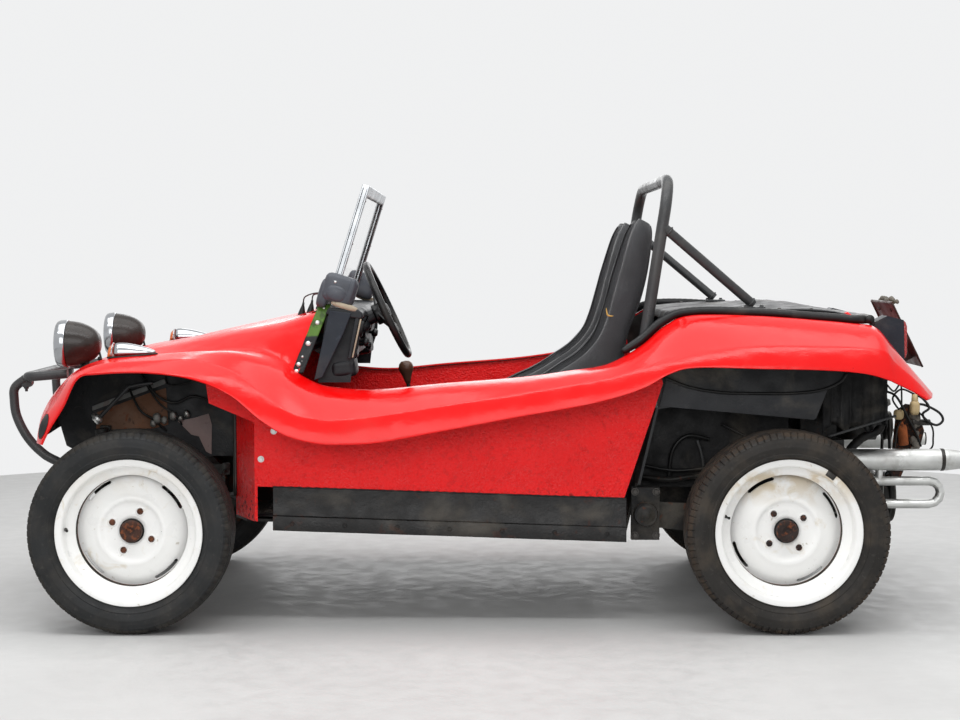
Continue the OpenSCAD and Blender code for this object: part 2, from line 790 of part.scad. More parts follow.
// ---------------------------------------------------------------- roll hoop
hoop_top = up(1099);
hoop_lean = 0.153;
module roll_hoop() {
    bend = 110;
    top_z = hoop_top - hoop_d / 2;
    top_x = behind(348);
    plate = 60;
    leg_x = top_x + (top_z - sill_top) * hoop_lean;
    foot_z = pan_z(leg_x + plate - 12) + seat_gap;
    foot = [top_x + (top_z - foot_z) * hoop_lean, hoop_y, foot_z + 1];
    shoulder_z = top_z - bend;
    corner = [
        for (a = [0:15:90])
            [
                top_x + bend * (1 - sin(a)) * hoop_lean,
                hoop_y - bend * (1 - cos(a)),
                shoulder_z + bend * sin(a)
            ]
    ];
    far_corner = [for (i = [len(corner) - 1:-1:0]) flip(corner[i])];
    color("#303030") {
        tube_along(concat([foot], corner, far_corner, [flip(foot)]), hoop_d, [1, 0, hoop_lean]);
        both_sides() {
            translate([leg_x - 12, hoop_y - hoop_d / 2, foot_z])
                cube([plate, half_tub - panel_t - seat_gap - hoop_y + hoop_d / 2, 6]);
            rod([behind(353), hoop_y, up(919)], [behind(80), cover_y - 30, cover_pad + 14], brace_d);
            translate([behind(45), cover_y - 62, cover_pad]) cube([70, 60, 8]);
        }
    }
}

// ---------------------------------------------------------------- front fittings
// An upper bar across the nose, and a hoop at each side that runs down to the front beam.
module front_bumper() {
    bar_x = front_overhang - 47;
    loop_x = front_overhang - bumper_d / 2;
    loop_y = 300;
    beam_face = beam_x - front_axle_x + beam_tube_d / 2 + seat_gap;
    upper_bar = curve([
        front_at(262, 345, 462),
        front_at(bar_x - 40, 340, 452),
        front_at(bar_x - 15, 305, 450),
        front_at(bar_x - 15, 200, 450)
    ], 3);
    loop = curve([
        front_at(bar_x - 15, loop_y, 448),
        front_at(loop_x - 4, loop_y, 415),
        front_at(loop_x, loop_y, 375),
        front_at(loop_x - 8, loop_y, 320),
        front_at(loop_x - 40, loop_y, 255),
        front_at(loop_x - 85, loop_y, 205),
        front_at(loop_x - 135, loop_y, 174),
        front_at(beam_face + 8, loop_y, 112)
    ], 2);
    color("#2c2c2c") {
        tube_along(
            concat(upper_bar, [for (i = [len(upper_bar) - 1:-1:0]) flip(upper_bar[i])]),
            bumper_d, [0, 0, 1]
        );
        both_sides() {
            tube_along(loop, bumper_d, [0, 1, 0]);
            translate([ahead(beam_face), loop_y - 25, beam_high - 12]) cube([8, 50, 40]);
        }
    }
}

module headlights() {
    depth = 140;
    ring_t = 18;
    face = ahead(284);
    mount = station_point(STATIONS[3], 0);
    bowl = [for (a = [0:10:80]) [(headlight_d / 2 - 3) * cos(a), -ring_t - (depth - ring_t) * sin(a)]];
    color("#28241f") both_sides() {
        translate([face, headlight_y, up(561)])
            rotate([0, 90, 0])
                rotate_extrude($fn = 96)
                    polygon(concat(
                        [[0, -6], [headlight_d / 2 - 12, -6], [headlight_d / 2 - 8, 0], [headlight_d / 2, -4],
                            [headlight_d / 2, -ring_t]],
                        bowl,
                        [[0, -depth]]
                    ));
        rod([mount.x, headlight_y, mount.z + 4], [mount.x, headlight_y, up(561) - 40], 22);
    }
}

module indicators() {
    y = station_y(STATIONS[4], 2);
    color("#c8c8c8") both_sides()
        slab([
            [ahead(82), up(527.5)],
            [ahead(-63), up(539.5)],
            [ahead(-66), up(545)],
            [ahead(-30), up(560)],
            [ahead(30), up(572)],
            [ahead(66), up(574)],
            [ahead(80), up(566)],
            [ahead(86), up(545)]
        ], y - 30, y + 30);
}

module tail_lights() {
    y = 450;
    w = 80;
    color("#181818") both_sides()
        slab([
            [behind(-299), up(615)],
            [behind(-312), up(600)],
            [behind(-337), up(568)],
            [behind(-388), up(506)],
            [behind(-396), up(520)],
            [behind(-392), up(640)],
            [behind(-340), up(653)],
            [behind(-303), up(634)]
        ], y - w / 2, y + w / 2);
}

plate_tilt = 26;
plate_foot = [behind(-534), up(474)];
module number_plate() {
    t = 3;
    color("#c8a020")
        translate([plate_foot.x, 0, plate_foot.y])
            rotate([0, plate_tilt, 0])
                difference() {
                    translate([0, -plate_w / 2, 0]) cube([t, plate_w, plate_h]);
                    for (y = [-plate_pitch / 2, plate_pitch / 2])
                        translate([-t, y, plate_h - 30])
                            rotate([0, 90, 0])
                                cylinder(h = 3 * t, d = plate_hole_d, $fn = 32);
                }
    color("#202020") both_sides()
        slab([
            [behind(-392), up(499)],
            [behind(-436), up(444)],
            [behind(-440), up(452)],
            [behind(-524), up(500)],
            [behind(-502), up(544)]
        ], 60, 64);
}

module fuel_tank() {
    color("#2a221c") slab([
        [tub_front + seat_gap, up(300)],
        [tub_front + seat_gap, up(478)],
        [ahead(-20), up(478)],
        [ahead(30), up(430)],
        [ahead(30), up(340)],
        [ahead(-10), up(300)]
    ], -250, 250);
}

// ---------------------------------------------------------------- front axle and steering
arm_z = up(60);
arm_y = kingpin_y - 99;
trailing_t = 24;
ball_d = 18;
upright_d = 34;
drop_y = 300;
module front_beam() {
    color("#161616") {
        for (z = [beam_low, beam_high])
            translate([beam_x, -beam_half, z]) rotate([-90, 0, 0])
                cylinder(h = 2 * beam_half, d = beam_tube_d, $fn = 64);
        both_sides() {
            slab([
                [beam_x - 22, beam_low],
                [beam_x + 22, beam_low],
                [beam_x + 16, up(300)],
                [beam_x - 16, up(300)]
            ], beam_half - 50, beam_half - 30);
            for (z = [beam_low, beam_high]) {
                translate([beam_x, beam_half, z]) rotate([-90, 0, 0])
                    cylinder(h = arm_y - beam_half + trailing_t / 2, d = 54, $fn = 64);
                slab([
                    [beam_x, z - 17],
                    [beam_x, z + 17],
                    [ahead(-20), z + 15],
                    [ahead(-20), z - 15]
                ], arm_y - trailing_t / 2, arm_y + trailing_t / 2);
                translate([ahead(0), arm_y, z]) rotate([-90, 0, 0])
                    cylinder(h = kingpin_y - arm_y, d = 21, $fn = 48);
                translate([ahead(0), kingpin_y, z]) sphere(d = 30, $fn = 48);
            }
            translate([ahead(0), kingpin_y, beam_low]) cylinder(h = 38, d = ball_d, $fn = 48);
            translate([ahead(0), kingpin_y, beam_high - 38]) cylinder(h = 38, d = ball_d, $fn = 48);
            rod([beam_x, beam_half - 31, up(285)], [beam_x, arm_y - 6, up(285)], 20);
            rod([beam_x, arm_y - 6, up(295)], [beam_x - 20, arm_y - 6, beam_low + 24], 42);
            translate([beam_x - 20, arm_y - 20, beam_low]) cylinder(h = 30, d = 20, $fn = 32);
        }
    }
}

module steering_box() {
    shaft_d = 22;
    color("#1a1a1a") {
        rod(column_end + seat_gap * column_dir, column_end + 40 * column_dir, shaft_d);
        rod(column_end + 30 * column_dir, [ahead(0), drop_y, up(130)], 18);
        translate([ahead(0), drop_y, arm_z + 11 + pivot_gap]) cylinder(h = 70, d = 64, $fn = 48);
        translate([ahead(-10), drop_y - 32, arm_z + 25])
            cube([beam_x - beam_tube_d / 2 - seat_gap - ahead(-10), 64, 56]);
        translate([ahead(0), drop_y, arm_z - 10]) cylinder(h = 30, d = shaft_d, $fn = 48);
    }
}

module drop_arm() {
    color("#262626") difference() {
        union() {
            translate([ahead(0), drop_y, arm_z - 10]) cylinder(h = 20, d = 44, $fn = 48);
            translate([ahead(-steer_arm), drop_y, arm_z - 10]) cylinder(h = 20, d = 34, $fn = 48);
            translate([ahead(-steer_arm), drop_y - 11, arm_z - 7]) cube([steer_arm, 22, 14]);
        }
        translate([ahead(0), drop_y, arm_z - 20]) cylinder(h = 40, d = 22 + 2 * pivot_gap, $fn = 48);
        translate([ahead(-steer_arm), drop_y, arm_z - 20]) cylinder(h = 40, d = 12 + 2 * pivot_gap, $fn = 48);
    }
}

// A tie rod joins an arm on a knuckle to the drop arm, its studs pointing down (1) or up (-1).
module tie_rod(outer_y, stud) {
    z = arm_z + stud * 22;
    stud_h = 21.5;
    color("#202020") {
        rod([ahead(-steer_arm), outer_y, z], [ahead(-steer_arm), drop_y, z], 16);
        for (y = [outer_y, drop_y]) {
            translate([ahead(-steer_arm), y, z - 10]) cylinder(h = 20, d = 28, $fn = 48);
            translate([ahead(-steer_arm), y, stud > 0 ? z - stud_h : z]) cylinder(h = stud_h, d = 12, $fn = 48);
        }
    }
}

module tie_rod_left() {
    tie_rod(kingpin_y, 1);
}

module tie_rod_right() {
    tie_rod(-kingpin_y, -1);
}

plate_gap = 5;
stub_d = 34;
module knuckle_left() {
    bar_low = beam_low + 20;
    bar_high = beam_high - 20;
    drum_back = half_track + disc_offset - drum_w;
    color("#202020") difference() {
        union() {
            translate([ahead(0), kingpin_y, bar_low]) cylinder(h = bar_high - bar_low, d = upright_d, $fn = 48);
            translate([ahead(0), kingpin_y, up(0)]) rotate([-90, 0, 0])
                cylinder(h = drum_back + drum_w - 8 - kingpin_y, d = stub_d, $fn = 48);
            translate([ahead(0), drum_back - plate_gap - 4, up(0)]) rotate([-90, 0, 0])
                cylinder(h = 4, d = drum_d - 6, $fn = 96);
            translate([ahead(-steer_arm), kingpin_y - 10, arm_z - 7]) cube([steer_arm, 20, 14]);
            translate([ahead(-steer_arm), kingpin_y, arm_z - 10]) cylinder(h = 20, d = 30, $fn = 48);
        }
        translate([ahead(-steer_arm), kingpin_y, arm_z - 20]) cylinder(h = 40, d = 12 + 2 * pivot_gap, $fn = 48);
        for (z = [bar_low - 1, bar_high - 19])
            translate([ahead(0), kingpin_y, z]) cylinder(h = 20, d = ball_d + 2 * pivot_gap, $fn = 48);
    }
}

module knuckle_right() {
    mirror([0, 1, 0]) knuckle_left();
}

// ---------------------------------------------------------------- rear axle and power unit
torsion_z = up(35);
torsion_d = 80;
bulkhead_lean = (bulkhead_low.x - bulkhead_high.x) / (bulkhead_high.y - bulkhead_low.y);
torsion_x = bulkhead_x(torsion_z) - bulkhead_t - (torsion_d / 2 + seat_gap) * norm([1, bulkhead_lean]);
axle_tube_d = 76;
module rear_torsion() {
    cover_t = 30;
    plate_t = 10;
    color("#161616") {
        translate([torsion_x, -torsion_half, torsion_z]) rotate([-90, 0, 0])
            cylinder(h = 2 * torsion_half, d = torsion_d, $fn = 64);
        slab([
            [bulkhead_x(up(-40)) - bulkhead_t - seat_gap, up(-40)],
            [bulkhead_x(up(70)) - bulkhead_t - seat_gap, up(70)],
            [torsion_x, up(70)],
            [torsion_x, up(0)]
        ], -70, 70);
        both_sides() {
            translate([torsion_x - 44, torsion_half + plate_t + 2 * seat_gap, torsion_z - 82])
                cube([88, cover_t, 165]);
            translate([torsion_x, torsion_half + plate_t + cover_t, torsion_z]) rotate([-90, 0, 0])
                cylinder(h = 22, d = 70, $fn = 48);
        }
    }
}

module spring_plates() {
    color("#141414") both_sides() difference() {
        slab([
            [torsion_x + 38, torsion_z - 38],
            [torsion_x + 38, torsion_z + 38],
            [behind(40), up(52)],
            [behind(-52), up(52)],
            [behind(-52), up(-52)],
            [behind(40), up(-52)]
        ], torsion_half + seat_gap, torsion_half + 10 + seat_gap);
        translate([behind(0), 0, up(0)]) rotate([-90, 0, 0])
            cylinder(h = half_track, d = axle_tube_d + 2 * seat_gap, $fn = 64);
    }
}

gearbox_y = 120;
bell_d = 190;
module gearbox() {
    color("#5a5a58") {
        slab([
            [torsion_x - torsion_d / 2 - seat_gap, up(-40)],
            [torsion_x - torsion_d / 2 - seat_gap, up(80)],
            [behind(120), up(95)],
            [behind(-bell_d / 2), up(105)],
            [behind(-bell_d / 2), up(-90)],
            [behind(120), up(-85)]
        ], -gearbox_y + 30, gearbox_y - 30);
        translate([behind(0), -gearbox_y, up(0)]) rotate([-90, 0, 0])
            cylinder(h = 2 * gearbox_y, d = bell_d, $fn = 64);
    }
}

module axle_tubes() {
    drum_back = half_track + disc_offset - drum_w;
    tube_end = drum_back - plate_gap - 4;
    color("#1c1c1c") both_sides() {
        translate([behind(0), gearbox_y + seat_gap, up(0)]) rotate([-90, 0, 0])
            cylinder(h = tube_end - gearbox_y - seat_gap, d = axle_tube_d, $fn = 64);
        translate([behind(0), tube_end, up(0)]) rotate([-90, 0, 0])
            cylinder(h = 4, d = drum_d - 6, $fn = 96);
        translate([behind(0), tube_end, up(0)]) rotate([-90, 0, 0])
            cylinder(h = plate_gap + 4 + drum_w - 8, d = stub_d, $fn = 48);
    }
}

engine_front = behind(-bell_d / 2) - seat_gap;
engine_top = up(120);
module engine() {
    color("#2a2a2a") {
        slab([
            [engine_front, up(-75)],
            [engine_front, up(110)],
            [behind(-400), up(110)],
            [behind(-430), up(60)],
            [behind(-430), up(-40)],
            [behind(-400), up(-75)]
        ], -120, 120);
        both_sides()
            slab([
                [behind(-100), up(10)],
                [behind(-100), engine_top],
                [behind(-370), engine_top],
                [behind(-370), up(10)]
            ], 119, 320);
        translate([behind(-425), 0, up(20)]) rotate([0, -90, 0])
            cylinder(h = 40, d = 170, $fn = 64);
    }
}

module fan_shroud() {
    base = engine_top + seat_gap;
    depth = 120;
    front = behind(-130);
    color("#1c1c1c") {
        translate([front - depth, -280, base]) cube([depth, 560, 120]);
        translate([front, 0, up(270)]) rotate([0, -90, 0])
            cylinder(h = depth, d = 300, $fn = 96);
        translate([front - depth, -150, base]) cube([depth, 300, 150]);
    }
}

module exhaust() {
    y = 350;
    port_y = 304;
    z = up(184);
    taper = 100;
    mouth = behind(-rear_overhang);
    tail_x = -512;
    low = 41;
    high = 115;
    bend = (high - low) / 2;
    color("#c0c0c0") both_sides() {
        rod([behind(-215), y, z], [mouth + taper, y, z], silencer_d);
        translate([mouth, y, z]) rotate([0, 90, 0])
            cylinder(h = taper, d1 = 45, d2 = silencer_d, $fn = 64);
        tube_along(concat(
            [rear_at(-330, y, high), rear_at(-400, y, high)],
            [for (a = [90:-30:-90]) rear_at(tail_x - bend * cos(a), y, low + bend + bend * sin(a))],
            [rear_at(-345, y, low)]
        ), 30, [0, 1, 0]);
        rod([behind(-235), port_y, engine_top + seat_gap], [behind(-235), port_y, engine_top + 40], 30);
        rod([behind(-235), port_y, engine_top + 32], [behind(-235), y, z], 30);
        rod([behind(-350), y, up(high)], [behind(-350), y, z], 24);
    }
}

// ---------------------------------------------------------------- wheels
seat_r = rim_d / 2 - 18;
well_r = disc_d / 2 + rim_t;
rim_half = rim_w / 2;
hub_hole_d = 66;
module wheel_at(x, side) {
    translate([x, 0, up(0)])
        mirror([0, side < 0 ? 1 : 0, 0])
            translate([0, half_track, 0])
                rotate([-90, 0, 0])
                    children();
}

module rim() {
    t = rim_t;
    face = disc_offset;
    edge = -18;
    disc_r = disc_d / 2 + 1;
    slot_angle = 33;
    color("#eeeeea") difference() {
        union() {
            rotate_extrude($fn = 128) polygon([
                [rim_d / 2, rim_half], [rim_d / 2, rim_half - t], [seat_r, rim_half - t], [seat_r, 26],
                [well_r, 14], [well_r, -24], [seat_r, -36], [seat_r, t - rim_half], [rim_d / 2, t - rim_half],
                [rim_d / 2, -rim_half], [seat_r - t, -rim_half], [seat_r - t, -36], [well_r - t, -24],
                [well_r - t, 14], [seat_r - t, 26], [seat_r - t, rim_half]
            ]);
            rotate_extrude($fn = 128) polygon([
                [hub_hole_d / 2, face], [86, face], [94, face + 7], [106, face + 7], [118, face], [disc_r - 8, edge],
                [disc_r, edge], [disc_r, edge + t], [disc_r - 5, edge + t], [120, face + t], [108, face + 7 + t],
                [92, face + 7 + t], [84, face + t], [hub_hole_d / 2, face + t]
            ]);
        }
        for (a = [0:90:270]) {
            rotate([0, 0, a + 23])
                translate([bolt_pcd / 2, 0, face - 10]) cylinder(h = 40, d = bolt_d + 1, $fn = 32);
            rotate([0, 0, a + 40 - slot_angle / 2])
                rotate_extrude(angle = slot_angle, $fn = 128)
                    translate([disc_d / 2 - 15, edge - 10]) square([11, 50]);
        }
    }
}

module tyre() {
    r = tyre_d / 2;
    half = tyre_w / 2;
    wall = 12;
    bead_y = rim_half - rim_t - seat_gap;
    bead_r = seat_r + seat_gap;
    flange_r = rim_d / 2 + 2;
    side_r = (flange_r + r) / 2;
    tread_y = half - 16;
    outer = [
        [bead_r, bead_y],
        [flange_r, bead_y],
        [flange_r + 6, half - 10],
        [side_r - 12, half - 1],
        [side_r, half],
        [side_r + 12, half - 1],
        [r - 16, half - 6],
        [r - 6, tread_y + 6],
        [r - 2, tread_y - 6],
        [r, tread_y - 30]
    ];
    inner = [
        [r - wall, tread_y - 30],
        [r - wall - 6, half - 24],
        [side_r, half - wall],
        [flange_r + 8, half - 24],
        [bead_r, bead_y - wall]
    ];
    function other(p) = [for (i = [len(p) - 1:-1:0]) [p[i].x, -p[i].y]];
    color("#1c1c1c")
        rotate_extrude($fn = 128)
            polygon(concat(outer, other(outer), other(inner), inner));
}

module drum() {
    face = disc_offset;
    cap_d = hub_hole_d - 6;
    color("#4a2a1c") difference() {
        union() {
            translate([0, 0, face - drum_w]) cylinder(h = drum_w, d = drum_d, $fn = 96);
            cylinder(h = face + 34, d = cap_d, $fn = 64);
        }
        translate([0, 0, face - drum_w - 1]) cylinder(h = drum_w - 6, d = stub_d + 2 * pivot_gap, $fn = 48);
    }
}

module rim_front_left() { wheel_at(front_axle_x, LEFT) rim(); }
module rim_front_right() { wheel_at(front_axle_x, RIGHT) rim(); }
module rim_rear_left() { wheel_at(rear_axle_x, LEFT) rim(); }
module rim_rear_right() { wheel_at(rear_axle_x, RIGHT) rim(); }
module tyre_front_left() { wheel_at(front_axle_x, LEFT) tyre(); }
module tyre_front_right() { wheel_at(front_axle_x, RIGHT) tyre(); }
module tyre_rear_left() { wheel_at(rear_axle_x, LEFT) tyre(); }
module tyre_rear_right() { wheel_at(rear_axle_x, RIGHT) tyre(); }
module drum_front_left() { wheel_at(front_axle_x, LEFT) drum(); }
module drum_front_right() { wheel_at(front_axle_x, RIGHT) drum(); }
module drum_rear_left() { wheel_at(rear_axle_x, LEFT) drum(); }
module drum_rear_right() { wheel_at(rear_axle_x, RIGHT) drum(); }

floor_pan();
frame_head();
sills();
side_panels();
front_bulkhead();
rear_bulkhead();
bonnet();
body_side_left();
body_side_right();
tail_panel();
rear_well();
rear_cover();
rim_moulding();
dashboard();
screen_pillars();
windscreen_frame();
windscreen_glass();
wipers();
steering_column();
steering_wheel();
levers();
pedals();
seat_left();
seat_right();
roll_hoop();
front_bumper();
headlights();
indicators();
tail_lights();
number_plate();
fuel_tank();
front_beam();
steering_box();
drop_arm();
tie_rod_left();
tie_rod_right();
knuckle_left();
knuckle_right();
rear_torsion();
spring_plates();
gearbox();
axle_tubes();
engine();
fan_shroud();
exhaust();
rim_front_left();
rim_front_right();
rim_rear_left();
rim_rear_right();
tyre_front_left();
tyre_front_right();
tyre_rear_left();
tyre_rear_right();
drum_front_left();
drum_front_right();
drum_rear_left();
drum_rear_right();
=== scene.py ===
import math
import random

import bmesh
import bpy
from mathutils import Matrix, Vector, noise
from mathutils.bvhtree import BVHTree


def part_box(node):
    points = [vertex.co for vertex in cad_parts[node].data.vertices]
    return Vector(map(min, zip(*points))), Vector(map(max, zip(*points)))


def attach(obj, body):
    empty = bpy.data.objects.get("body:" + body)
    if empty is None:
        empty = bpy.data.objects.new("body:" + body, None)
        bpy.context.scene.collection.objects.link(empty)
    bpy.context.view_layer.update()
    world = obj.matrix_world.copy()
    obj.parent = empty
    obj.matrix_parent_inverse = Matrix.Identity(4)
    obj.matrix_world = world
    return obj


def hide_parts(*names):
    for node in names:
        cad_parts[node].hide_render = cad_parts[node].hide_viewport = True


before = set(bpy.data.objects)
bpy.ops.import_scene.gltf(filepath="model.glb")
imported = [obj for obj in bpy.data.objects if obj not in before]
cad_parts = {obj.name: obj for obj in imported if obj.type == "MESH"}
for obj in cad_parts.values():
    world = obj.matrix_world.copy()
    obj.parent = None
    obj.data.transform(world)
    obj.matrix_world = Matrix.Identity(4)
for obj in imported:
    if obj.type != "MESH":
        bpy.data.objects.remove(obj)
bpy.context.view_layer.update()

LEFT, RIGHT = 1, -1
SIDES = ((LEFT, "left"), (RIGHT, "right"))
WHEELS = ("front_left", "front_right", "rear_left", "rear_right")
random.seed(4)

# ---------------------------------------------------------------- places, from the frame


def centre(node):
    low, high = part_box(node)
    return (Vector(low) + Vector(high)) / 2


FRONT_AXLE = centre("tyre_front_left")
REAR_AXLE = centre("tyre_rear_left")
AXLE_Z = FRONT_AXLE.z
HALF_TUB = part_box("side_panels")[1][1]
HALF_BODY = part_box("body_side_left")[1][1]
HOOP_Y = 0.5205
SEAT_Y = centre("seat_left").y
SLOPE = math.tan(math.radians(1.9))
PAN_X = (FRONT_AXLE.x + REAR_AXLE.x) / 2


def front(x, y, h):
    """A place in millimetres from the front axle: ahead of it, to the left of the middle, above it."""
    return Vector((FRONT_AXLE.x + x / 1000, y / 1000, AXLE_Z + h / 1000))


def rear(x, y, h):
    return Vector((REAR_AXLE.x + x / 1000, y / 1000, AXLE_Z + h / 1000))


def side_outline(axle_x, pairs):
    """An outline in the side plane, from pairs in millimetres ahead of an axle and above it."""
    return [(axle_x + x / 1000, AXLE_Z + h / 1000) for x, h in pairs]


def pan_z(x):
    """Height of the sill's top, which slopes nose-up."""
    return AXLE_Z + 0.105 + (x - PAN_X) * SLOPE


def flip(p):
    return Vector((p[0], -p[1], p[2]))


# ---------------------------------------------------------------- curves and meshes


def spline(points, steps):
    """A smooth curve through the points, with a number of steps between each two of them."""
    pts = [Vector(p) for p in points]
    out = []
    for i in range(len(pts) - 1):
        a, b = pts[max(i - 1, 0)], pts[i]
        c, d = pts[i + 1], pts[min(i + 2, len(pts) - 1)]
        for k in range(steps):
            t = k / steps
            out.append(0.5 * (2 * b + (c - a) * t + (2 * a - 5 * b + 4 * c - d) * t * t
                              + (3 * b - a - 3 * c + d) * t ** 3))
    out.append(pts[-1])
    return out


def resample(points, count):
    """The same polyline with evenly spread points."""
    lengths = [0.0]
    for a, b in zip(points, points[1:]):
        lengths.append(lengths[-1] + (b - a).length)
    out = []
    i = 0
    for k in range(count):
        goal = lengths[-1] * k / (count - 1)
        while i < len(points) - 2 and lengths[i + 1] < goal:
            i += 1
        span = max(lengths[i + 1] - lengths[i], 1e-9)
        out.append(points[i].lerp(points[i + 1], min(max((goal - lengths[i]) / span, 0), 1)))
    return out


def link(name, mesh):
    obj = bpy.data.objects.new(name, mesh)
    bpy.context.scene.collection.objects.link(obj)
    return obj


def mesh_from(name, verts, faces, smooth=True):
    mesh = bpy.data.meshes.new(name)
    mesh.from_pydata([tuple(v) for v in verts], [], faces)
    mesh.validate()
    mesh.polygons.foreach_set("use_smooth", [smooth] * len(mesh.polygons))
    return link(name, mesh)


def grid_mesh(name, grid, closed=False, smooth=True):
    """A sheet through rows of points; closed joins the last column to the first."""
    rows, cols = len(grid), len(grid[0])
    faces = []
    for i in range(rows - 1):
        for j in range(cols if closed else cols - 1):
            k = (j + 1) % cols
            faces.append((i * cols + j, i * cols + k, (i + 1) * cols + k, (i + 1) * cols + j))
    return mesh_from(name, [p for row in grid for p in row], faces, smooth)


def edit(obj, work):
    """Runs work on the object's mesh as a bmesh."""
    bm = bmesh.new()
    bm.from_mesh(obj.data)
    work(bm)
    bm.to_mesh(obj.data)
    bm.free()
    obj.data.update()
    return obj


def outward(obj):
    return edit(obj, lambda bm: bmesh.ops.recalc_face_normals(bm, faces=bm.faces))


def cap_ends(bm):
    holes = bmesh.ops.holes_fill(bm, edges=[e for e in bm.edges if e.is_boundary])
    for f in holes["faces"]:
        f.smooth = False


def tube(name, path, radius, sides=20, squash=1.0):
    """A round bar along a path; radius is a number or a function of the place along it, from 0 to 1."""
    pts = [Vector(p) for p in path]
    rings = []
    tangent = (pts[1] - pts[0]).normalized()
    side = tangent.orthogonal().normalized()
    for i, p in enumerate(pts):
        ahead = pts[min(i + 1, len(pts) - 1)] - pts[max(i - 1, 0)]
        turn = tangent.rotation_difference(ahead.normalized())
        side = (turn @ side).normalized()
        tangent = ahead.normalized()
        up = tangent.cross(side)
        r = radius(i / (len(pts) - 1)) if callable(radius) else radius
        rings.append([p + r * (math.cos(a) * side + math.sin(a) * squash * up)
                      for a in (2 * math.pi * k / sides for k in range(sides))])
    obj = grid_mesh(name, rings, closed=True)
    edit(obj, cap_ends)
    return outward(obj)


def lathe(name, profile, at, axis, sides=96, closed=False, start=0.0, sweep=360.0):
    """Turns (radius, distance along the axis) points in metres round an axis through at."""
    axis = Vector(axis).normalized()
    side = axis.orthogonal().normalized()
    if abs(axis.y) > 0.9:
        side = Vector((1, 0, 0))
    up = axis.cross(side)
    whole = sweep >= 360.0
    count = sides if whole else sides + 1
    rings = []
    for k in range(count):
        a = math.radians(start + sweep * k / sides)
        d = math.cos(a) * side + math.sin(a) * up
        rings.append([Vector(at) + r * d + h * axis for r, h in profile])
    if closed:
        rings = [ring + [ring[0]] for ring in rings]
    rows = [list(row) for row in zip(*rings)]
    obj = grid_mesh(name, rows, closed=whole)
    edit(obj, lambda bm: bmesh.ops.remove_doubles(bm, verts=bm.verts, dist=1e-6))
    return outward(obj)


def prism(name, outline, y0, y1, bevel=0.0, segments=2):
    """An (x, z) outline made as thick as from y0 to y1, with its edges rounded."""
    count = len(outline)
    verts = [(x, y0, z) for x, z in outline] + [(x, y1, z) for x, z in outline]
    faces = [tuple(range(count)), tuple(range(2 * count - 1, count - 1, -1))]
    faces += [(i, (i + 1) % count, count + (i + 1) % count, count + i) for i in range(count)]
    obj = outward(mesh_from(name, verts, faces, smooth=False))
    return rounded(obj, bevel, segments) if bevel else obj


def rounded(obj, width, segments=2, angle=30):
    mod = obj.modifiers.new("edges", "BEVEL")
    mod.width = width
    mod.segments = segments
    mod.limit_method = "ANGLE"
    mod.angle_limit = math.radians(angle)
    mod.harden_normals = False
    obj.data.polygons.foreach_set("use_smooth", [True] * len(obj.data.polygons))
    sharp_by_angle(obj)
    return obj


def sharp_by_angle(obj, angle=35):
    limit = math.radians(angle)

    def mark(bm):
        for e in bm.edges:
            e.smooth = not (len(e.link_faces) == 2 and e.calc_face_angle(0) > limit)

    return edit(obj, mark)


def apply_modifiers(obj):
    deps = bpy.context.evaluated_depsgraph_get()
    mesh = bpy.data.meshes.new_from_object(obj.evaluated_get(deps))
    obj.modifiers.clear()
    old = obj.data
    obj.data = mesh
    bpy.data.meshes.remove(old)
    return obj


def join(name, objects):
    """One object out of several, with their modifiers applied."""
    bpy.context.view_layer.update()
    for o in objects:
        if o.modifiers:
            apply_modifiers(o)
    bm = bmesh.new()
    slots = []
    for o in objects:
        start = len(bm.faces)
        o.data.transform(o.matrix_world)
        bm.from_mesh(o.data)
        bm.faces.ensure_lookup_table()
        mats = [m for m in o.data.materials] or [None]
        for f in bm.faces[start:]:
            m = mats[min(f.material_index, len(mats) - 1)]
            if m not in slots:
                slots.append(m)
            f.material_index = slots.index(m)
    mesh = bpy.data.meshes.new(name)
    bm.to_mesh(mesh)
    bm.free()
    for m in slots:
        if m:
            mesh.materials.append(m)
    for o in objects:
        bpy.data.objects.remove(o)
    return link(name, mesh)


def thicken(obj, depth, side=-1):
    """Gives a sheet a thickness, behind its faces or, with side 1, in front of them."""
    mod = obj.modifiers.new("thickness", "SOLIDIFY")
    mod.thickness = depth
    mod.offset = side
    return mod


def bolt(name, at, axis, size=0.012, height=0.007, sides=6):
    """A screw head with a washer under it."""
    profile = [(0, height), (size * 0.42, height), (size * 0.5, height * 0.85), (size * 0.5, height * 0.2)]
    head = lathe(name, profile, at, axis, sides=sides)
    plate = [(0, height * 0.25), (size * 0.7, height * 0.25), (size * 0.74, height * 0.15),
             (size * 0.74, -0.002)]
    washer = lathe(name + "_washer", plate, at, axis, sides=24)
    return join(name, [sharp_by_angle(head), sharp_by_angle(washer)])


# ---------------------------------------------------------------- materials


def srgb(code):
    """Linear colour of a #rrggbb code."""
    parts = [int(code[i:i + 2], 16) / 255 for i in (1, 3, 5)]
    return tuple(c / 12.92 if c <= 0.04045 else ((c + 0.055) / 1.055) ** 2.4 for c in parts) + (1.0,)


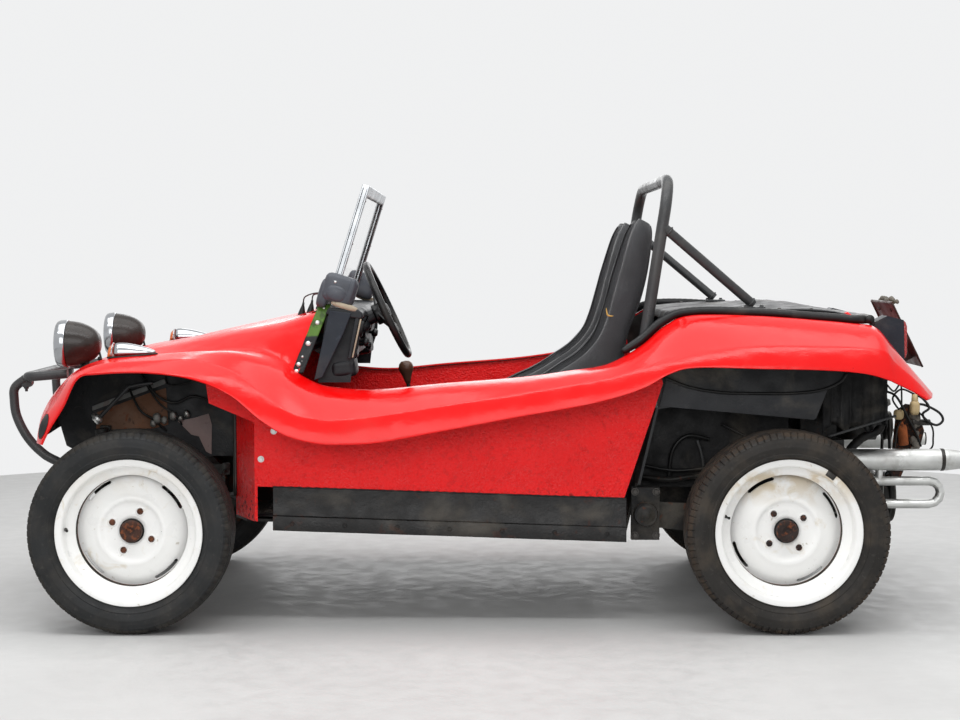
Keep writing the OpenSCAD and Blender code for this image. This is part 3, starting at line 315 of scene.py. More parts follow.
class Shade:
    """A node material being put together. Coordinates are metres in the row frame."""

    def __init__(self, name, rough=0.5, metal=0.0, **fixed):
        self.mat = bpy.data.materials.new(name)
        self.mat.use_nodes = True
        self.tree = self.mat.node_tree
        self.shader = self.tree.nodes["Principled BSDF"]
        self.shader.inputs["Metallic"].default_value = metal
        self.shader.inputs["Roughness"].default_value = rough
        for key, value in fixed.items():
            self.shader.inputs[key.replace("_", " ")].default_value = value
        self.coords = self.node("ShaderNodeTexCoord").outputs["Object"]
        self.colour = None
        self.rough = rough
        self.heights = []

    def node(self, kind, settings=None, **inputs):
        made = self.tree.nodes.new(kind)
        for key, value in (settings or {}).items():
            setattr(made, key, value)
        for key, value in inputs.items():
            self.feed(made.inputs[key.replace("_", " ")], value)
        return made

    def feed(self, socket, value):
        if isinstance(value, bpy.types.NodeSocket):
            self.tree.links.new(value, socket)
        else:
            socket.default_value = value

    def scaled(self, stretch):
        if stretch == (1, 1, 1):
            return self.coords
        return self.node("ShaderNodeMapping", Vector=self.coords, Scale=stretch).outputs[0]

    def noise(self, scale, detail=4, stretch=(1, 1, 1), rough=0.55, warp=0.0):
        return self.node("ShaderNodeTexNoise", Vector=self.scaled(stretch), Scale=scale, Detail=detail,
                         Roughness=rough, Distortion=warp).outputs["Fac"]

    def cells(self, scale, stretch=(1, 1, 1), feature="F1", output="Distance"):
        return self.node("ShaderNodeTexVoronoi", {"feature": feature}, Vector=self.scaled(stretch),
                         Scale=scale).outputs[output]

    def waves(self, scale, axis="X", warp=0.0):
        return self.node("ShaderNodeTexWave", {"bands_direction": axis}, Vector=self.coords, Scale=scale,
                         Distortion=warp, Detail=1).outputs["Fac"]

    def span(self, value, a, b, to_a=0.0, to_b=1.0):
        """Maps a to to_a and b to to_b, and stays between them."""
        return self.node("ShaderNodeMapRange", {"interpolation_type": "SMOOTHSTEP"}, Value=value,
                         From_Min=a, From_Max=b, To_Min=to_a, To_Max=to_b).outputs[0]

    def ramp(self, axis, a, b):
        """0 at a and 1 at b along an axis."""
        place = self.node("ShaderNodeSeparateXYZ", Vector=self.coords).outputs[axis]
        return self.node("ShaderNodeMapRange", Value=place, From_Min=a, From_Max=b).outputs[0]

    def math(self, operation, a, b=0.0):
        made = self.node("ShaderNodeMath", {"operation": operation, "use_clamp": operation != "SUBTRACT"})
        self.feed(made.inputs[0], a)
        self.feed(made.inputs[1], b)
        return made.outputs[0]

    def product(self, *values):
        out = values[0]
        for v in values[1:]:
            out = self.math("MULTIPLY", out, v)
        return out

    def mix(self, mask, a, b):
        return self.node("ShaderNodeMixRGB", Fac=mask, Color1=a, Color2=b).outputs[0]

    def base(self, colour, vary=0.06, scale=5.0, uneven=0.12, rough_scale=14.0):
        """The colour and roughness, each a little uneven."""
        c = srgb(colour)
        dark = tuple(v * (1 - vary) for v in c[:3]) + (1.0,)
        light = tuple(min(v * (1 + vary), 1.0) for v in c[:3]) + (1.0,)
        self.colour = self.mix(self.span(self.noise(scale), 0.35, 0.65), dark, light)
        self.rough = self.span(self.noise(rough_scale, 5), 0.3, 0.7, self.rough * (1 - uneven),
                               min(self.rough * (1 + uneven), 1.0))
        return self

    def layer(self, colour, mask, rough=None):
        """Paints a colour, and a roughness, over the last one where the mask is."""
        self.colour = self.mix(mask, self.colour, srgb(colour) if isinstance(colour, str) else colour)
        if rough is not None:
            blend = self.node("ShaderNodeMix", {"data_type": "FLOAT"})
            self.feed(blend.inputs[0], mask)
            self.feed(blend.inputs[2], self.rough)
            self.feed(blend.inputs[3], rough)
            self.rough = blend.outputs[0]
        return self

    def relief(self, height, depth):
        """Adds bump of a depth in metres."""
        self.heights.append((height, depth))
        return self

    def finish(self):
        normal = None
        for height, depth in self.heights:
            bump = self.node("ShaderNodeBump", Height=height, Distance=depth, Strength=1.0)
            if normal is not None:
                self.feed(bump.inputs["Normal"], normal)
            normal = bump.outputs[0]
        if normal is not None:
            self.feed(self.shader.inputs["Normal"], normal)
        self.feed(self.shader.inputs["Base Color"], self.colour)
        self.feed(self.shader.inputs["Roughness"], self.rough)
        return self.mat


def specks(s, scale, size, amount=1.0, stretch=(1, 1, 1)):
    """Small round chips or grit: 1 inside each."""
    near = s.cells(scale, stretch)
    pick = 1.0
    if amount < 1:
        pick = s.span(s.cells(scale, stretch, output="Color"), 1 - amount, 1 - amount + 0.01)
    return s.product(s.span(near, size, size * 0.6), pick)


def gelcoat(name, colour):
    s = Shade(name, 0.19, Specular_IOR_Level=0.32)
    s.base(colour, 0.03, 3.0, 0.35)
    s.layer("#d8352c", s.product(s.span(s.noise(9, 6, warp=0.6), 0.56, 0.75), 0.25), 0.32)
    s.layer("#7d1512", s.product(specks(s, 85, 0.16, 0.12), 0.5))
    s.layer("#e8b4a8", s.product(specks(s, 60, 0.12, 0.06), 0.55))
    s.relief(s.noise(24, 3), 0.0011)
    s.relief(s.noise(6, 2), 0.003)
    return s.finish()


def rough_red():
    """The side panels: red brushed over rough glass fibre, with grit and pale chips."""
    s = Shade("rough_red", 0.3, Specular_IOR_Level=0.25)
    s.base("#fb1a1c", 0.05, 7.0, 0.3)
    front_part = s.product(s.ramp("X", 0.35, 0.85), s.ramp("Z", 0.42, 0.62))
    s.layer("#c41214", s.product(s.span(s.noise(46, 6), 0.52, 0.68), 0.35))
    s.layer("#f0d4cc", s.product(specks(s, 240, 0.24, 0.25), s.span(s.noise(16, 4), 0.42, 0.6), front_part),
            0.5)
    s.layer("#f2b9b0", s.product(specks(s, 330, 0.3, 0.4), s.span(s.noise(11, 5), 0.46, 0.62),
                                 s.ramp("Z", 0.44, 0.56)), 0.5)
    s.layer("#5e1411", s.product(s.span(s.noise(30, 6), 0.6, 0.72), s.ramp("Z", 0.45, 0.38), 0.6), 0.6)
    s.layer("#3a2420", s.product(s.span(s.noise(60, 6), 0.56, 0.66), s.ramp("Z", 0.44, 0.39)), 0.7)
    s.relief(s.noise(95, 5, rough=0.7), 0.003)
    s.relief(s.cells(150), 0.0014)
    s.relief(s.noise(14, 3), 0.004)
    return s.finish()


def painted(name, colour, rough=0.42, wear="#6a6258", amount=0.35, grain=220, depth=0.0006, dust=0.25,
            rust=0.0):
    """Brushed or sprayed paint on metal, with scuffs, dust on it and some rust."""
    s = Shade(name, rough, Specular_IOR_Level=0.3)
    s.base(colour, 0.12, 9.0, 0.25)
    s.layer("#8d8579", s.product(s.span(s.noise(7, 7, warp=0.4), 0.5, 0.75), dust), min(rough + 0.25, 0.9))
    s.layer(wear, s.product(s.span(s.noise(38, 8, warp=0.8), 0.62, 0.7), amount), 0.6)
    if rust:
        s.layer("#6e3518", s.product(s.span(s.noise(24, 8, warp=0.5), 0.6, 0.68), rust), 0.85)
        s.layer("#a0562a", s.product(specks(s, 180, 0.3, 0.3), s.span(s.noise(18, 4), 0.5, 0.64), rust),
                0.85)
    s.relief(s.noise(grain, 4), depth)
    s.relief(s.noise(28, 3), depth * 1.6)
    return s.finish()


def bare_metal(name, colour, rough, stain="#5b5148", amount=0.4, scratch=0.0004, stretch=(1, 1, 1)):
    s = Shade(name, rough, 1.0)
    s.base(colour, 0.08, 12.0, 0.35)
    s.layer(stain, s.product(s.span(s.noise(16, 7, warp=0.5), 0.5, 0.72), amount), min(rough + 0.3, 0.9))
    s.relief(s.noise(160, 4, stretch), scratch)
    return s.finish()


def rubber(name, colour, dust="#6b655c", amount=0.4, tread=None):
    """Weathered tyre rubber; on the tread, dust lies where it wears."""
    s = Shade(name, 0.62, Specular_IOR_Level=0.25)
    s.base(colour, 0.14, 10.0, 0.15)
    s.layer(dust, s.product(s.span(s.noise(13, 7), 0.42, 0.72), amount), 0.85)
    s.layer("#4a4744", s.product(s.span(s.noise(70, 5), 0.58, 0.7), 0.35), 0.8)
    if tread:
        s.layer(tread, s.product(s.span(s.noise(32, 6), 0.35, 0.65), 0.75), 0.9)
    s.relief(s.noise(420, 3), 0.0004)
    s.relief(s.noise(60, 3), 0.0006)
    return s.finish()


def vinyl():
    s = Shade("seat_vinyl", 0.46, Sheen_Weight=0.08)
    s.base("#1b1c20", 0.2, 11.0, 0.2)
    s.layer("#5a5d61", s.product(s.span(s.noise(9, 7, warp=0.7), 0.55, 0.8), 0.4), 0.62)
    s.layer("#8a8c8c", s.product(specks(s, 110, 0.14, 0.1), 0.6), 0.8)
    creases = s.span(s.node("ShaderNodeTexVoronoi", {"feature": "DISTANCE_TO_EDGE"}, Vector=s.coords,
                            Scale=420.0).outputs["Distance"], 0.02, 0.18)
    s.relief(creases, 0.0005)
    s.relief(s.noise(34, 4, (1, 1, 0.5)), 0.0032)
    return s.finish()


def wheel_paint(name, stain):
    s = Shade(name, 0.33, Coat_Weight=0.15, Coat_Roughness=0.2)
    s.base("#fbfbf9", 0.015, 7.0, 0.2)
    s.layer("#c2a468", s.product(s.span(s.noise(15, 6, warp=0.5), 0.4, 0.6),
                                 s.ramp("Z", AXLE_Z + 0.07, AXLE_Z + 0.16),
                                 s.ramp("Z", AXLE_Z + 0.2, AXLE_Z + 0.17), stain), 0.5)
    s.layer("#c9b487", s.product(s.span(s.noise(12, 7, warp=0.7), 0.58, 0.74), 0.5), 0.55)
    s.layer("#9d8a6c", s.product(s.span(s.noise(46, 7), 0.66, 0.74), 0.5), 0.6)
    s.layer("#463c34", s.product(specks(s, 70, 0.1, 0.09), 0.85), 0.7)
    s.relief(s.noise(70, 3), 0.0007)
    return s.finish()


def rust(name="rust", colour="#4a2416"):
    s = Shade(name, 0.85)
    s.base(colour, 0.3, 30.0, 0.1)
    s.layer("#8a4a26", s.product(s.span(s.noise(80, 7), 0.5, 0.68), 0.7))
    s.layer("#1e1410", s.product(s.span(s.noise(45, 6), 0.56, 0.7), 0.7))
    s.relief(s.noise(260, 5), 0.0012)
    return s.finish()


def cowl_strip():
    """A strip painted green at its top and black lower down, both worn."""
    s = Shade("strip_green", 0.42, Specular_IOR_Level=0.3)
    s.base("#4a6b25", 0.15, 12.0, 0.25)
    s.layer("#2a3a18", s.product(s.span(s.noise(40, 7), 0.5, 0.62), 0.7))
    edge = s.math("ADD", s.ramp("Z", 0.912, 0.892), s.product(s.noise(55, 4), 0.35))
    s.layer("#16181a", s.span(edge, 0.45, 0.75))
    s.layer("#c9cfc6", s.product(specks(s, 130, 0.24, 0.35), s.span(s.noise(22, 4), 0.5, 0.6),
                                 s.ramp("Z", 0.93, 0.80)), 0.6)
    s.relief(s.noise(120, 4), 0.0008)
    return s.finish()


def two_sided_plate():
    """The blank plate: yellow on the face that looks rearwards, dark primer on its back."""
    s = Shade("plate_paint", 0.4, Specular_IOR_Level=0.3)
    s.base("#2b1c18", 0.25, 12.0, 0.25)
    s.layer("#4c2119", s.product(s.span(s.noise(20, 6), 0.45, 0.65), 0.6))
    normal = s.node("ShaderNodeTexCoord").outputs["Normal"]
    facing = s.node("ShaderNodeSeparateXYZ", Vector=normal).outputs["X"]
    rearwards = s.math("LESS_THAN", facing, -0.5)
    s.layer("#b9a66a", rearwards)
    s.layer("#7d6b40", s.product(rearwards, s.span(s.noise(9, 6), 0.5, 0.7), 0.5), 0.6)
    s.relief(s.noise(90, 4), 0.0005)
    return s.finish()


def lens(name, colour, rough=0.12):
    s = Shade(name, rough, Transmission_Weight=0.45, IOR=1.49, Coat_Weight=0.5)
    s.base(colour, 0.06, 30.0, 0.3)
    s.relief(s.waves(90, "Z"), 0.0006)
    return s.finish()


def clear_glass():
    """Thin glass: mostly see-through, with a faint grey and dust."""
    s = Shade("screen_glass", 0.04, IOR=1.45)
    s.base("#cfd6d6", 0.03, 4.0, 0.3)
    s.layer("#d8d8d2", s.product(s.span(s.noise(9, 7, warp=0.5), 0.45, 0.75), 0.6), 0.3)
    mask = s.span(s.noise(9, 7, warp=0.5), 0.4, 0.8, 0.05, 0.13)
    s.feed(s.shader.inputs["Alpha"], mask)
    return s.finish()


MAT = {
    "red": gelcoat("gelcoat_red", "#e60a0b"),
    "panel": rough_red(),
    "inside": painted("inner_fibre", "#2b2826", 0.75, "#4e453c", 0.5, 120, 0.0012, 0.35),
    "sill": painted("sill_black", "#100f0f", 0.42, "#2c2824", 0.4, 120, 0.0011, 0.22, 0.12),
    "chassis": painted("chassis_black", "#151413", 0.5, "#3a322a", 0.5, 160, 0.0009, 0.25, 0.35),
    "tube": painted("tube_grey", "#3a3b3c", 0.36, "#15181a", 0.35, 260, 0.0004, 0.12, 0.05),
    "cover": painted("cover_black", "#232426", 0.5, "#4b4c4e", 0.35, 190, 0.001, 0.35),
    "moulding": painted("moulding_black", "#111213", 0.4, "#3c3c3c", 0.2, 300, 0.0004, 0.14),
    "dash": painted("dash_black", "#17191d", 0.45, "#39404a", 0.25, 340, 0.0005, 0.12),
    "board": painted("board_blue", "#1a2029", 0.5, "#3b4450", 0.3, 300, 0.0005, 0.2),
    "plastic": painted("wheel_plastic", "#0e0f10", 0.34, "#2c2d2e", 0.2, 320, 0.0003, 0.08),
    "knob": painted("knob_brown", "#54392d", 0.3, "#1c100b", 0.3, 200, 0.0004, 0.08),
    "lamp": painted("lamp_grey", "#2b2724", 0.26, "#504640", 0.4, 180, 0.0004, 0.12),
    "tank": painted("tank_brown", "#3a261b", 0.6, "#1a1411", 0.6, 120, 0.001, 0.25, 0.8),
    "engine": painted("engine_black", "#1e1d1b", 0.5, "#4b443b", 0.6, 110, 0.001, 0.35, 0.35),
    "tin": painted("tin_black", "#232221", 0.4, "#55504a", 0.5, 150, 0.0006, 0.3, 0.2),
    "rod": painted("rod_grey", "#6d6e6c", 0.5, "#39342f", 0.6, 150, 0.0006, 0.3, 0.2),
    "plate_edge": painted("plate_dark", "#33201b", 0.5, "#15100e", 0.6, 130, 0.0008, 0.15, 0.2),
    "cream": painted("cap_cream", "#cfb78a", 0.45, "#8c7650", 0.4, 140, 0.0004, 0.1),
    "wire": painted("wire_black", "#101010", 0.45, "#333333", 0.2, 300, 0.0003, 0.15),
    "chrome": bare_metal("chrome", "#aeb0b3", 0.14, "#5d5a57", 0.3, 0.00005),
    "aluminium": bare_metal("aluminium", "#b4b7ba", 0.34, "#8d9093", 0.3, 0.00001, (1, 1, 4)),
    "alloy": bare_metal("cast_alloy", "#8b8a86", 0.55, "#3c352e", 0.7, 0.0012),
    "steel": bare_metal("steel_edge", "#4b4947", 0.5, "#2a2522", 0.5, 0.0005),
    "silver": bare_metal("exhaust_silver", "#cbccca", 0.42, "#6e6357", 0.3, 0.0001),
    "rivet": bare_metal("rivet", "#c8c8c6", 0.35, "#77736c", 0.3, 0.0002),
    "drum": rust("drum_rust", "#3d241a"),
    "rust": rust("bolt_rust", "#56301c"),
    "orange_rust": rust("edge_rust", "#a3572b"),
    "dark_rust": rust("rust_dark", "#241713"),
    "white": wheel_paint("wheel_white", 0.12),
    "rear_white": wheel_paint("wheel_white_rear", 0.6),
    # Dark rusty paint for the rims' inner faces: partly dirt, partly painted shade that darkens the inside of
    # each wheel.
    "rim_inside": painted("rim_inside", "#2c2925", 0.7, "#5c5147", 0.5, 120, 0.0006, 0.3, 0.4),
    "strip": cowl_strip(),
    "corner": painted("corner_grey", "#474a51", 0.4, "#6a6e78", 0.3, 260, 0.0004, 0.2),
    "tape": painted("tape_beige", "#a79a86", 0.7, "#6f5f50", 0.6, 200, 0.0008, 0.2),
    "liner": painted("arch_liner", "#17181a", 0.55, "#302f2e", 0.5, 160, 0.0008, 0.35),
    "liner_grey": painted("arch_liner_grey", "#2b2c2f", 0.5, "#3f3e3d", 0.5, 140, 0.0006, 0.35),
    "bay_rust": painted("bay_rust", "#6b4a36", 0.7, "#33231a", 0.7, 90, 0.0012, 0.2, 0.8),
    "bay_grey": painted("bay_grey", "#7c6c69", 0.6, "#4a3f3c", 0.5, 110, 0.0008, 0.2),
    # Sooty black for the gearbox, pipes and engine sheets; also painted shade, on flat black sheets put where
    # there is only shadow.
    "grime_and_shade": painted("grime_and_shade_black", "#0f0f10", 0.6, "#242221", 0.5, 120, 0.001, 0.25),
    "crust": painted("plate_crust", "#6f6a63", 0.8, "#3a3028", 0.8, 300, 0.002, 0.4),
    "glassy_black": painted("dial_black", "#0b0c0e", 0.08, "#17191c", 0.1, 300, 0.0001, 0.05),
    "number": two_sided_plate(),
    "front_tyre": rubber("tyre_front", "#252627", "#4c4843", 0.3),
    "rear_tyre": rubber("tyre_rear", "#272523", "#554c42", 0.45),
    "front_tread": rubber("tread_front", "#1d1d1d", "#4c4843", tread="#3a3733"),
    "rear_tread": rubber("tread_rear", "#1f1c1a", "#4c4843", tread="#463b31"),
    "vinyl": vinyl(),
    "amber": lens("lens_amber", "#ef7b1c"),
    "red_lens": lens("lens_red", "#c01210"),
    "clear_lens": lens("lens_clear", "#d9dcdc"),
    "glass": clear_glass(),
    "foam": painted("foam_yellow", "#c9a55c", 0.9, "#8a6c35", 0.4, 260, 0.002, 0.1),
}


def paint(obj, mat):
    obj.data.materials.clear()
    obj.data.materials.append(MAT[mat])
    return obj


def keep(node, mat):
    """Gives a CAD node that stays a better material."""
    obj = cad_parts[node]
    for material_slot in obj.material_slots:
        material_slot.material = MAT[mat]
    return obj


def place(obj, body="chassis", slot=None, replaces=(), mat=None):
    """Finishes a piece: its material, the body it rides on and the nodes it stands for. Its record slot is
    not used.
    """
    if mat:
        paint(obj, mat)
    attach(obj, body)
    if replaces:
        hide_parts(*([replaces] if isinstance(replaces, str) else replaces))
    return obj


# ---------------------------------------------------------------- camera, lights and floor


def make_stage():
    scene = bpy.context.scene
    camera = bpy.data.cameras.new("camera")
    camera.lens = 69.4
    camera.sensor_width = 36.0
    camera.clip_end = 100.0
    holder = bpy.data.objects.new("camera", camera)
    holder.location = (0.0385, 6.3, 1.15)
    holder.rotation_euler = (math.radians(86.8), 0.0, math.radians(180.0))
    scene.collection.objects.link(holder)
    scene.camera = holder

    scene.view_settings.view_transform = "Standard"
    world = bpy.data.worlds.new("studio")
    scene.world = world
    world.use_nodes = True
    tree = world.node_tree
    back = tree.nodes["Background"]
    seen = tree.nodes.new("ShaderNodeLightPath")
    widest = seen.outputs["Is Camera Ray"]
    for name in ("Is Glossy Ray", "Is Transmission Ray"):
        both = tree.nodes.new("ShaderNodeMath")
        both.operation = "MAXIMUM"
        tree.links.new(widest, both.inputs[0])
        tree.links.new(seen.outputs[name], both.inputs[1])
        widest = both.outputs[0]
    strength = tree.nodes.new("ShaderNodeMapRange")
    tree.links.new(widest, strength.inputs["Value"])
    strength.inputs["To Min"].default_value = 0.42
    strength.inputs["To Max"].default_value = 1.0
    back.inputs["Color"].default_value = (0.87, 0.875, 0.88, 1.0)
    tree.links.new(strength.outputs[0], back.inputs["Strength"])

    for name, place_at, size, power in (
            ("overhead", (0.0, 0.4, 4.2), (6.0, 3.0), 130.0),
            ("strip", (0.2, 2.3, 3.9), (6.0, 0.5), 70.0),
            ("camera_side", (0.8, 5.4, 2.4), (5.0, 2.4), 96.0),
            ("far_side", (-0.6, -4.6, 2.6), (5.0, 2.0), 55.0)):
        light = bpy.data.lights.new(name, "AREA")
        light.shape = "RECTANGLE"
        light.size, light.size_y = size
        light.energy = power
        lamp = bpy.data.objects.new(name, light)
        lamp.location = place_at
        lamp.rotation_euler = (Vector((0, 0, 0.5)) - Vector(place_at)).to_track_quat("-Z", "Y").to_euler()
        scene.collection.objects.link(lamp)

    rings = [[Vector((r * math.cos(a), r * math.sin(a), 0.0)) for a in
              (2 * math.pi * k / 160 for k in range(160))] for r in (0.001, 1.2, 2.6, 4.25)]
    floor = grid_mesh("floor", rings, closed=True)
    s = Shade("floor_grey", 0.55)
    s.base("#cbcbca", 0.03, 1.4, 0.2)
    s.relief(s.noise(60, 3), 0.0004)
    floor.data.materials.append(s.finish())


make_stage()


# ---------------------------------------------------------------- body shell

# Each station runs from the rim or the bonnet joint out to the wing lip, in millimetres from an axle:
# [axle, inner y, lip inset, inner, shoulder, slope, crease, lip]
F, R = FRONT_AXLE.x, REAR_AXLE.x
TUB = HALF_TUB * 1000
STATIONS = [
    [F, TUB - 180, 10, [315, 274], [311, 274], [300, 273], [284, 272], [259, 272]],
    [F, TUB - 180, 10, [313, 344], [308, 344], [296, 339], [272, 329], [235, 319]],
    [F, TUB - 180, 10, [275, 417], [270, 417], [255, 411], [225, 395], [193, 387]],
    [F, TUB - 180, 8, [192, 486], [190, 486], [184, 486], [170, 478], [148, 474]],
    [F, TUB - 180, 5, [82, 515], [82, 516], [82, 525], [82, 513], [82, 489]],
    [F, TUB - 180, 3, [-63, 527], [-63, 527], [-63, 537], [-63, 523], [-63, 492]],
    [F, TUB - 160, 1, [-203, 537], [-203, 537], [-203, 546], [-203, 525], [-203, 471]],
    [F, TUB - 120, 0, [-313, 545], [-313, 546], [-313, 540], [-313, 493], [-313, 423]],
    [F, TUB - 75, 1, [-393, 539], [-393, 533], [-393, 508], [-393, 436], [-393, 356]],
    [F, TUB - 30, 2, [-458, 517], [-458, 507], [-458, 472], [-458, 386], [-458, 311]],
    [F, TUB - 8, 3, [-503, 479], [-503, 470], [-503, 440], [-503, 360], [-503, 291]],
    [F, TUB - 14, 4, [-563, 446], [-563, 440], [-563, 415], [-563, 348], [-563, 277]],
    [F, TUB - 20, 4, [-623, 433], [-623, 428], [-623, 406], [-623, 343], [-623, 272]],
    [F, TUB - 20, 4, [-753, 427], [-753, 423], [-753, 403], [-753, 356], [-753, 277]],
    [F, TUB - 20, 4, [-943, 445], [-943, 442], [-943, 426], [-943, 386], [-943, 311]],
    [R, TUB - 20, 4, [813, 465], [813, 463], [813, 452], [813, 426], [813, 358]],
    [R, TUB - 20, 4, [663, 485], [663, 483], [663, 475], [663, 452], [663, 384]],
    [R, TUB - 20, 4, [543, 506], [543, 504], [543, 495], [543, 474], [543, 411]],
    [R, TUB - 20, 3, [443, 561], [443, 557], [443, 538], [443, 504], [443, 445]],
    [R, TUB - 24, 2, [363, 627], [363, 622], [363, 592], [363, 534], [363, 489]],
    [R, TUB - 35, 1, [283, 655], [283, 655], [283, 620], [283, 553], [283, 506]],
    [R, TUB - 50, 0, [83, 651], [83, 654], [83, 623], [83, 569], [83, 502]],
    [R, TUB - 50, 0, [-97, 639], [-97, 642], [-97, 615], [-97, 568], [-97, 498]],
    [R, TUB - 50, 1, [-217, 629], [-217, 631], [-217, 607], [-217, 564], [-217, 488]],
    [R, TUB - 50, 3, [-287, 619], [-287, 619], [-287, 598], [-287, 551], [-287, 470]],
    [R, TUB - 50, 5, [-337, 567], [-335, 566], [-332, 550], [-322, 514], [-317, 457]],
    [R, TUB - 50, 7, [-397, 492], [-395, 492], [-393, 484], [-382, 464], [-367, 434]],
    [R, TUB - 50, 11, [-452, 422], [-452, 422], [-449, 421], [-432, 411], [-412, 409]],
]
# [middle offset, middle height, ridge y, ridge offset, ridge height, wall offset, wall height]
BONNET = [
    [327, 279, 250, 322, 278, 318, 276],
    [325, 349, 250, 321, 348, 317, 346],
    [287, 422, 250, 283, 421, 279, 419],
    [199, 495, 250, 197, 493, 195, 489],
    [82, 534, 290, 82, 530, 82, 520],
    [-63, 561, 300, -63, 554, -63, 538],
    [-203, 593, 318, -203, 583, -203, 557],
    [-313, 617, 350, -313, 605, -313, 573],
    [-393, 635, 400, -393, 619, -393, 579],
    [-458, 649, 455, -458, 633, -458, 584],
    [-563, 674, 520, -581, 674, -548, 589],
]
LIP_SHARE = (0, 0.2, 0.52, 0.85, 1)
CORNER_SHARE = 0.45  # the most of a side that a rounded corner may use up
TAIL_START = 23
STEPS = 6


def station_point(i, k):
    s = STATIONS[i]
    y = s[1] + LIP_SHARE[k] * (HALF_BODY * 1000 - s[2] - s[1])
    return Vector((s[0] + s[3 + k][0] / 1000, y / 1000, AXLE_Z + s[3 + k][1] / 1000))


BODY_LINES = [spline([station_point(i, k) for i in range(len(STATIONS))], STEPS) for k in range(5)]


def corner_arc(p, corner, q, steps):
    """A small arc from p to q that leans into the corner between them."""
    return [(1 - t) ** 2 * p + 2 * t * (1 - t) * corner + t * t * q
            for t in (k / steps for k in range(steps + 1))]


def soft_corner(points, corner, radius, steps=5):
    """Points with one corner of them turned into a small arc."""
    a, b, c = points[corner - 1], points[corner], points[corner + 1]
    r0 = min(radius, (a - b).length * CORNER_SHARE)
    r1 = min(radius, (c - b).length * CORNER_SHARE)
    p, q = b + (a - b).normalized() * r0, b + (c - b).normalized() * r1
    return points[:corner] + corner_arc(p, b, q, steps) + points[corner + 1:]


def side_row(i):
    """One row across the side, from the rim out to the lip: the slope bulges, and the lip curls under."""
    upper = spline([BODY_LINES[k][i] for k in range(4)], 7)
    crease, lip = BODY_LINES[3][i], BODY_LINES[4][i]
    band = [crease.lerp(lip, t) for t in (0, 0.3, 0.6, 0.85, 1)]
    bulge = (0, 0.0026, 0.003, 0.0016, 0)
    band = [p + Vector((0, b, 0)) for p, b in zip(band, bulge)]
    row = upper[:-1] + band
    return soft_corner(row, len(upper) - 1, 0.010)


def bonnet_half(i):
    m, mh, ry, rx, rh, wx, wh = BONNET[i]
    a = station_point(i, 0)
    return [front(m, 0, mh), front(m, ry * 0.6, mh - (mh - rh) * 0.2), front(rx, ry, rh),
            front(wx, (ry + a.y * 1000) / 2 + 8, wh)]


def make_body():
    side = [side_row(i) for i in range(len(BODY_LINES[0]))]
    lines = [spline([bonnet_half(i)[k] for i in range(len(BONNET))], STEPS) for k in range(4)]
    bonnet = []
    for i in range(len(lines[0])):
        half = [lines[k][i] for k in range(4)] + [side[i][0]]
        half = soft_corner(half, 2, 0.045, 6)
        full = [flip(p) for p in half[:0:-1]] + half
        bonnet.append(spline(full, 3))
    tail = [[Vector((row[0].x, row[0].y * s, row[0].z)) for s in (k / 8 - 1 for k in range(17))]
            for row in side[TAIL_START * STEPS:]]
    left = grid_mesh("side_left", side)
    right = grid_mesh("side_right", [[flip(p) for p in row] for row in side])
    body = join("body_shell", [left, right, grid_mesh("bonnet_top", bonnet), grid_mesh("tail", tail)])

    def seam(bm):
        bmesh.ops.remove_doubles(bm, verts=bm.verts, dist=0.0004)
        bmesh.ops.recalc_face_normals(bm, faces=bm.faces)
        top = max(bm.faces, key=lambda f: f.calc_center_median().z)
        if top.normal.z < 0:
            bmesh.ops.reverse_faces(bm, faces=bm.faces)
        for f in bm.faces:
            f.smooth = True

    edit(body, seam)
    body.data.materials.clear()
    body.data.materials.append(MAT["red"])
    body.data.materials.append(MAT["inside"])
    thick = thicken(body, 0.006)
    thick.use_even_offset = False
    thick.material_offset = 1
    thick.material_offset_rim = 0
    lip = body.modifiers.new("edge", "BEVEL")
    lip.width = 0.0016
    lip.segments = 2
    lip.limit_method = "ANGLE"
    lip.angle_limit = math.radians(60)
    place(body, slot="gelcoat_red", replaces=("bonnet", "body_side_left", "body_side_right", "tail_panel"))
    return side


SIDE_ROWS = make_body()


def edge_inward(i):
    a, b = SIDE_ROWS[max(i - 1, 0)][0], SIDE_ROWS[min(i + 1, len(SIDE_ROWS) - 1)][0]
    return (b - a).cross(Vector((0, 1, 0))).normalized()


def make_moulding():
    """The beading on the rim round the rear of the cockpit."""
    radius = 0.014
    start, stop = 17 * STEPS + 3, TAIL_START * STEPS
    half = [SIDE_ROWS[i][0] - (radius + 0.0003) * edge_inward(i) for i in range(start, stop + 1)]
    corner = half[-1]
    half += [corner + Vector((-0.06 * math.sin(a), -0.06 * (1 - math.cos(a)), 0))
             for a in (math.radians(v) for v in range(15, 91, 15))]
    path = spline(half + [flip(p) for p in reversed(half)], 2)
    path = resample(path, 420)
    wobble = [p + Vector((0, 0, 0.0016 * noise.noise(p * 9))) for p in path]
    end = 6

    def thickness(t):
        n = min(t, 1 - t) * len(wobble)
        return radius * (0.55 + 0.45 * math.sqrt(min(n / end, 1))) * (1 + 0.03 * math.sin(t * 900))

    tube_piece = tube("rim_beading", wobble, thickness, 20)
    place(tube_piece, slot="moulding_black", replaces="rim_moulding", mat="moulding")


make_moulding()


# ---------------------------------------------------------------- tub


